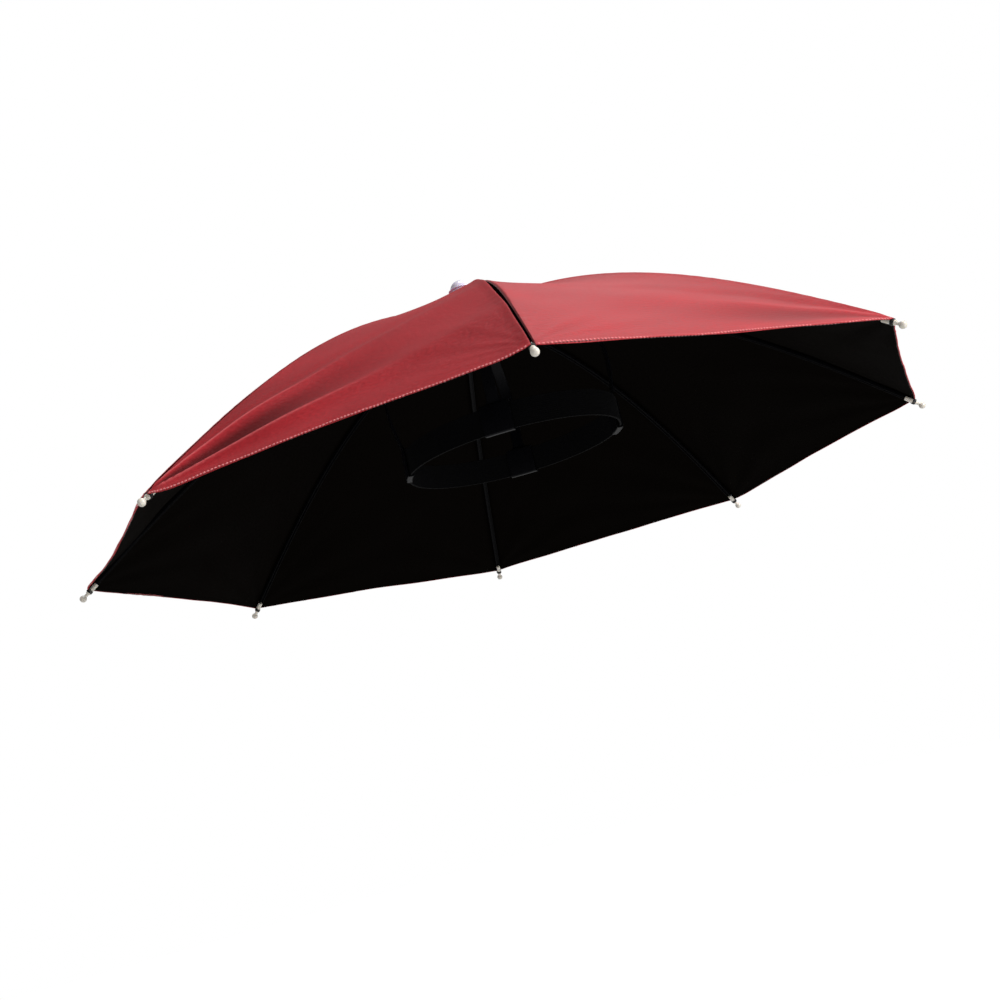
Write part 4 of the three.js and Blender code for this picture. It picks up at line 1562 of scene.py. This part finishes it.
class UMBRELLA_HAT_OT_arms(PieceOperator):
    """Make the four bowed arms, each with the loop that holds the headband"""

    bl_idname = "umbrella_hat.arms"
    bl_label = "Arms"

    def execute(self, context):
        band = BandForm(context)
        h = band.h
        corners = [h.arm_turn - math.pi / 2, math.pi / 2 - h.arm_turn,
                   math.pi / 2 + h.arm_turn, -math.pi / 2 - h.arm_turn]
        for number, corner in enumerate(corners):
            arm = self.strip(band, corner, f"arm_strip_{number + 1}")
            loop = self.loop(band, corner)
            activate(arm)
            loop.select_set(True)
            bpy.ops.object.join()
            smooth_shading(arm, 40)
            give_material(arm, finish("arm_black"))
            finish_piece(arm, "arm_plastic", f"arm_{number + 1}")
        return {"FINISHED"}

    def strip(self, band, corner, name):
        h = band.h
        deselect()
        bpy.ops.mesh.primitive_grid_add(x_subdivisions=90, y_subdivisions=6, size=2)
        strip = last_added(name)
        strip.scale = (0.5, h.arm_width / 2, 1)
        strip.location = (0.5, 0, 0)
        apply_place(strip)
        points = mesh_points(strip)
        points[:, 1] *= 1 + ARM_FLARE * smooth_step(ARM_FLARE_FROM, 1.0, points[:, 0]) ** 2
        set_mesh_points(strip, points)
        apply_modifier(strip, "SOLIDIFY", thickness=h.arm_thick, offset=0)
        outward(strip)
        round_edges(strip, 0.00045, 3, 60)
        bend_along(strip, band.arm_route(corner, 60))
        outward(strip)
        return strip

    def loop(self, band, corner):
        h = band.h
        turn = band.turn_at(corner)
        pace = band.axes(turn)[4]
        thick = h.band_wall / 2 + h.loop_slack + h.loop_wall
        low = -h.band_height / 2 - h.loop_below
        high = h.band_height / 2 + h.loop_above
        deselect()
        bpy.ops.mesh.primitive_cube_add(size=2, location=(0, 0, (low + high) / 2))
        loop = last_added("loop")
        loop.scale = (h.loop_width / 2, thick, (high - low) / 2)
        apply_place(loop)
        select_edges(loop, lambda a, b: abs(a.x - b.x) > h.loop_width / 2)
        bpy.ops.mesh.bevel(offset=0.0012, segments=4)
        leave_edit()
        select_faces(loop, lambda middle, normal: abs(normal.x) > 0.9)
        bpy.ops.mesh.delete(type="FACE")
        leave_edit()
        select_edges(loop, lambda a, b: abs(a.x - b.x) > h.loop_width / 2)
        bpy.ops.mesh.subdivide(number_cuts=11)
        turn_outward()
        leave_edit()
        apply_modifier(loop, "SOLIDIFY", thickness=0.0011, offset=-1, use_even_offset=True)
        outward(loop)
        round_edges(loop, 0.0003, 2, 60)
        placed = []
        for x, y, z in mesh_points(loop):
            origin, away, _, up, _ = band.axes(turn + x / pace)
            placed.append(origin + away * y + up * z)
        set_mesh_points(loop, placed)
        outward(loop)
        return loop


class UMBRELLA_HAT_OT_headband(PieceOperator):
    """Make the ribbed elastic headband"""

    bl_idname = "umbrella_hat.headband"
    bl_label = "Headband"

    def execute(self, context):
        band = BandForm(context)
        h = band.h
        deselect()
        bpy.ops.mesh.primitive_cylinder_add(
            vertices=240, radius=1, depth=h.band_height, end_fill_type="NOTHING")
        tape = last_added("elastic_band")
        select_edges(tape, lambda a, b: abs(a.z - b.z) > h.band_height / 2)
        bpy.ops.mesh.subdivide(number_cuts=h.band_cords * 4 - 1)
        leave_edit()
        points = mesh_points(tape)
        turns = np.arctan2(points[:, 1], points[:, 0])
        heights = points[:, 2].copy()
        share = heights / h.band_height + 0.5
        cords = np.abs(np.sin(share * math.pi * h.band_cords))
        selvedge = 1 - smooth_step(0.0, 0.05, np.minimum(share, 1 - share))
        thick = h.band_wall * (0.74 + 0.20 * cords + 0.05 * selvedge)
        outer, inner = [], []
        for turn, height, wall in zip(turns, heights, thick):
            origin, away, _, up, _ = band.axes(turn)
            outer.append(origin + away * wall / 2 + up * height)
            inner.append(origin - away * wall / 2 + up * height)
        rim_low = heights < -h.band_height / 2 + 1e-6
        rim_high = heights > h.band_height / 2 - 1e-6
        faces = [tuple(face.vertices) for face in tape.data.polygons]
        count = len(points)
        walls = []
        for edge in tape.data.edges:
            a, b = edge.vertices
            if (rim_low[a] and rim_low[b]) or (rim_high[a] and rim_high[b]):
                walls.append((a, b, b + count, a + count))
        mesh = bpy.data.meshes.new("elastic_band")
        mesh.from_pydata(
            [tuple(p) for p in outer + inner], [],
            faces + [tuple(i + count for i in reversed(f)) for f in faces] + walls)
        tape.data = mesh
        outward(tape)
        self.lay_flat(tape, band)
        smooth_shading(tape, 60)
        give_material(tape, finish("elastic"))
        finish_piece(tape, "band_elastic", "headband")
        a, b = band.half_width, band.half_length
        return {"FINISHED"}

    def lay_flat(self, tape, band):
        """Unrolls the band into its UV map, in metres."""
        mesh = tape.data
        back = band.dip.transposed()
        radius = (band.half_width + band.half_length) / 2
        layer = mesh.uv_layers.new(name="cloth")
        local = [back @ v.co for v in mesh.vertices]
        for face in mesh.polygons:
            turns = [math.atan2(local[i].y / band.half_length, local[i].x / band.half_width)
                     for i in face.vertices]
            wrap = max(turns) - min(turns) > math.pi
            for loop, i, turn in zip(face.loop_indices, face.vertices, turns):
                if wrap and turn < 0:
                    turn += 2 * math.pi
                layer.data[loop].uv = (turn * radius, local[i].z)


# Studio


# Soft lights: name, place, what each looks at, side of the square, watts and colour.
LAMPS = (
    ("key", (0.9, -2.5, 1.0), (0, 0, 0.03), 1.2, 75, (1, 0.985, 0.97)),
    ("top", (0.6, -0.2, 2.6), (0, 0, 0), 1.5, 29, (1, 1, 1)),
    ("glaze", (2.07, 0.58, 1.54), (0, 0, 0.03), 1.8, 8, (1, 1, 1)),
)
DAYLIGHT = 0.30              # strength of the white all round, as light
FLOOR_LEVEL, FLOOR_SIZE = -0.85, 24
# The camera: its angles round a point on the canopy's axis, then how it is leaned, panned
# and tilted, all in degrees, its distance in metres and its lens in millimetres.
CAMERA_AZIMUTH, CAMERA_ELEVATION = -41.155, -12.558
CAMERA_ROLL, CAMERA_PAN, CAMERA_TILT = 14.359, 0.593, 0.068
CAMERA_PIVOT = Vector((0, AXIS_Y, -0.0425))
CAMERA_DISTANCE, CAMERA_LENS = 1.0470, 47.86


def area_light(name, place, target, side, power, colour):
    light = bpy.data.lights.new(name, "AREA")
    light.shape = "SQUARE"
    light.size = side
    light.energy = power
    light.color = colour
    lamp = add_object(name, light)
    lamp.location = place
    lamp.rotation_euler = (Vector(target) - Vector(place)).to_track_quat("-Z", "Y").to_euler()


class UMBRELLA_HAT_OT_studio(PieceOperator):
    """Set up the floor, the soft lights and the camera"""

    bl_idname = "umbrella_hat.studio"
    bl_label = "Studio"

    def execute(self, context):
        scene = context.scene
        scene.view_settings.view_transform = "Standard"
        self.floor()
        self.daylight(scene)
        for lamp in LAMPS:
            area_light(*lamp)
        self.camera(scene)
        return {"FINISHED"}

    def floor(self):
        deselect()
        bpy.ops.mesh.primitive_plane_add(size=FLOOR_SIZE, location=(0, 0, FLOOR_LEVEL))
        floor = last_added("floor")
        apply_place(floor)
        material = bpy.data.materials.new("floor_pale")
        material.use_nodes = True
        nodes = NodeTree(material.node_tree)
        surface = material.node_tree.nodes["Principled BSDF"]
        place = nodes.add("ShaderNodeTexCoord").outputs["Object"]
        cloud = nodes.add("ShaderNodeTexNoise", None, Vector=place, Scale=0.4, Detail=2.0)
        pale = nodes.grey(nodes.between(cloud.outputs[0], 0.3, 0.7, 0.76, 0.78))
        nodes.feed(surface, "Base Color", pale)
        surface.inputs["Roughness"].default_value = 0.9
        surface.inputs["Specular IOR Level"].default_value = 0.1
        nodes.feed(surface, "Emission Color", pale)
        seen = nodes.add("ShaderNodeLightPath").outputs["Is Camera Ray"]
        nodes.feed(surface, "Emission Strength", nodes.between(seen, 0, 1, 0.0, 1.1))
        # From under it the floor is clear, so the lining and the harness can be looked at.
        back = nodes.add("ShaderNodeNewGeometry").outputs["Backfacing"]
        nodes.feed(surface, "Alpha", nodes.between(back, 0, 1, 1.0, 0.0))
        give_material(floor, material)

    def daylight(self, scene):
        world = bpy.data.worlds.new("studio")
        scene.world = world
        world.use_nodes = True
        nodes = NodeTree(world.node_tree)
        sky = world.node_tree.nodes["Background"]
        sky.inputs["Color"].default_value = (1, 1, 1, 1)
        seen = nodes.add("ShaderNodeLightPath").outputs["Is Camera Ray"]
        nodes.feed(sky, "Strength", nodes.between(seen, 0, 1, DAYLIGHT, 1.0))

    def camera(self, scene):
        azimuth, elevation = math.radians(CAMERA_AZIMUTH), math.radians(CAMERA_ELEVATION)
        roll, pan, tilt = map(math.radians, (CAMERA_ROLL, CAMERA_PAN, CAMERA_TILT))
        back = Vector((math.sin(azimuth) * math.cos(elevation),
                       -math.cos(azimuth) * math.cos(elevation), math.sin(elevation)))
        view = -back
        right = Vector((math.cos(azimuth), math.sin(azimuth), 0))
        up = right.cross(view)
        leaned = right * math.cos(roll) - up * math.sin(roll)
        risen = right * math.sin(roll) + up * math.cos(roll)
        panned = leaned * math.cos(pan) + view * math.sin(pan)
        ahead = view * math.cos(pan) - leaned * math.sin(pan)
        top = risen * math.cos(tilt) + ahead * math.sin(tilt)
        ahead = ahead * math.cos(tilt) - risen * math.sin(tilt)
        data = bpy.data.cameras.new("camera")
        data.sensor_width = 36
        data.lens = CAMERA_LENS
        data.clip_end = 60
        camera = add_object("camera", data)
        camera.matrix_world = basis(CAMERA_PIVOT + back * CAMERA_DISTANCE, panned, top, -ahead)
        scene.camera = camera


class UMBRELLA_HAT_PT_sidebar(bpy.types.Panel):
    """Lists the sizes, the colours and the pieces"""

    bl_label = "Umbrella Hat"
    bl_space_type = "VIEW_3D"
    bl_region_type = "UI"
    bl_category = "Umbrella Hat"

    def draw(self, context):
        for group in (context.scene.umbrella_hat_canopy, context.scene.umbrella_hat_ribs,
                      context.scene.umbrella_hat_harness, context.scene.umbrella_hat_colours):
            box = self.layout.box()
            for key in group.__annotations__:
                box.prop(group, key)
        for operator in PIECES + STAGE:
            self.layout.operator(operator.bl_idname)


PIECES = (
    UMBRELLA_HAT_OT_canopy,
    UMBRELLA_HAT_OT_hem_stitches,
    UMBRELLA_HAT_OT_ribs,
    UMBRELLA_HAT_OT_tips,
    UMBRELLA_HAT_OT_hub,
    UMBRELLA_HAT_OT_cap,
    UMBRELLA_HAT_OT_arms,
    UMBRELLA_HAT_OT_headband,
)
STAGE = (UMBRELLA_HAT_OT_studio,)
GROUPS = {
    "umbrella_hat_canopy": UmbrellaHatCanopySizes,
    "umbrella_hat_ribs": UmbrellaHatRibSizes,
    "umbrella_hat_harness": UmbrellaHatHarnessSizes,
    "umbrella_hat_colours": UmbrellaHatColours,
}


def register():
    for group in GROUPS.values():
        bpy.utils.register_class(group)
    for kind in PIECES + STAGE + (UMBRELLA_HAT_PT_sidebar,):
        bpy.utils.register_class(kind)
    for key, group in GROUPS.items():
        setattr(bpy.types.Scene, key, PointerProperty(type=group))


def unregister():
    for key in GROUPS:
        delattr(bpy.types.Scene, key)
    for kind in PIECES + STAGE + (UMBRELLA_HAT_PT_sidebar,):
        bpy.utils.unregister_class(kind)
    for group in GROUPS.values():
        bpy.utils.unregister_class(group)


def main():
    register()
    bpy.ops.umbrella_hat.studio()
    bpy.ops.umbrella_hat.canopy()
    bpy.ops.umbrella_hat.hem_stitches()
    bpy.ops.umbrella_hat.ribs()
    bpy.ops.umbrella_hat.tips()
    bpy.ops.umbrella_hat.hub()
    bpy.ops.umbrella_hat.cap()
    bpy.ops.umbrella_hat.arms()
    bpy.ops.umbrella_hat.headband()


if __name__ == "__main__":
    main()
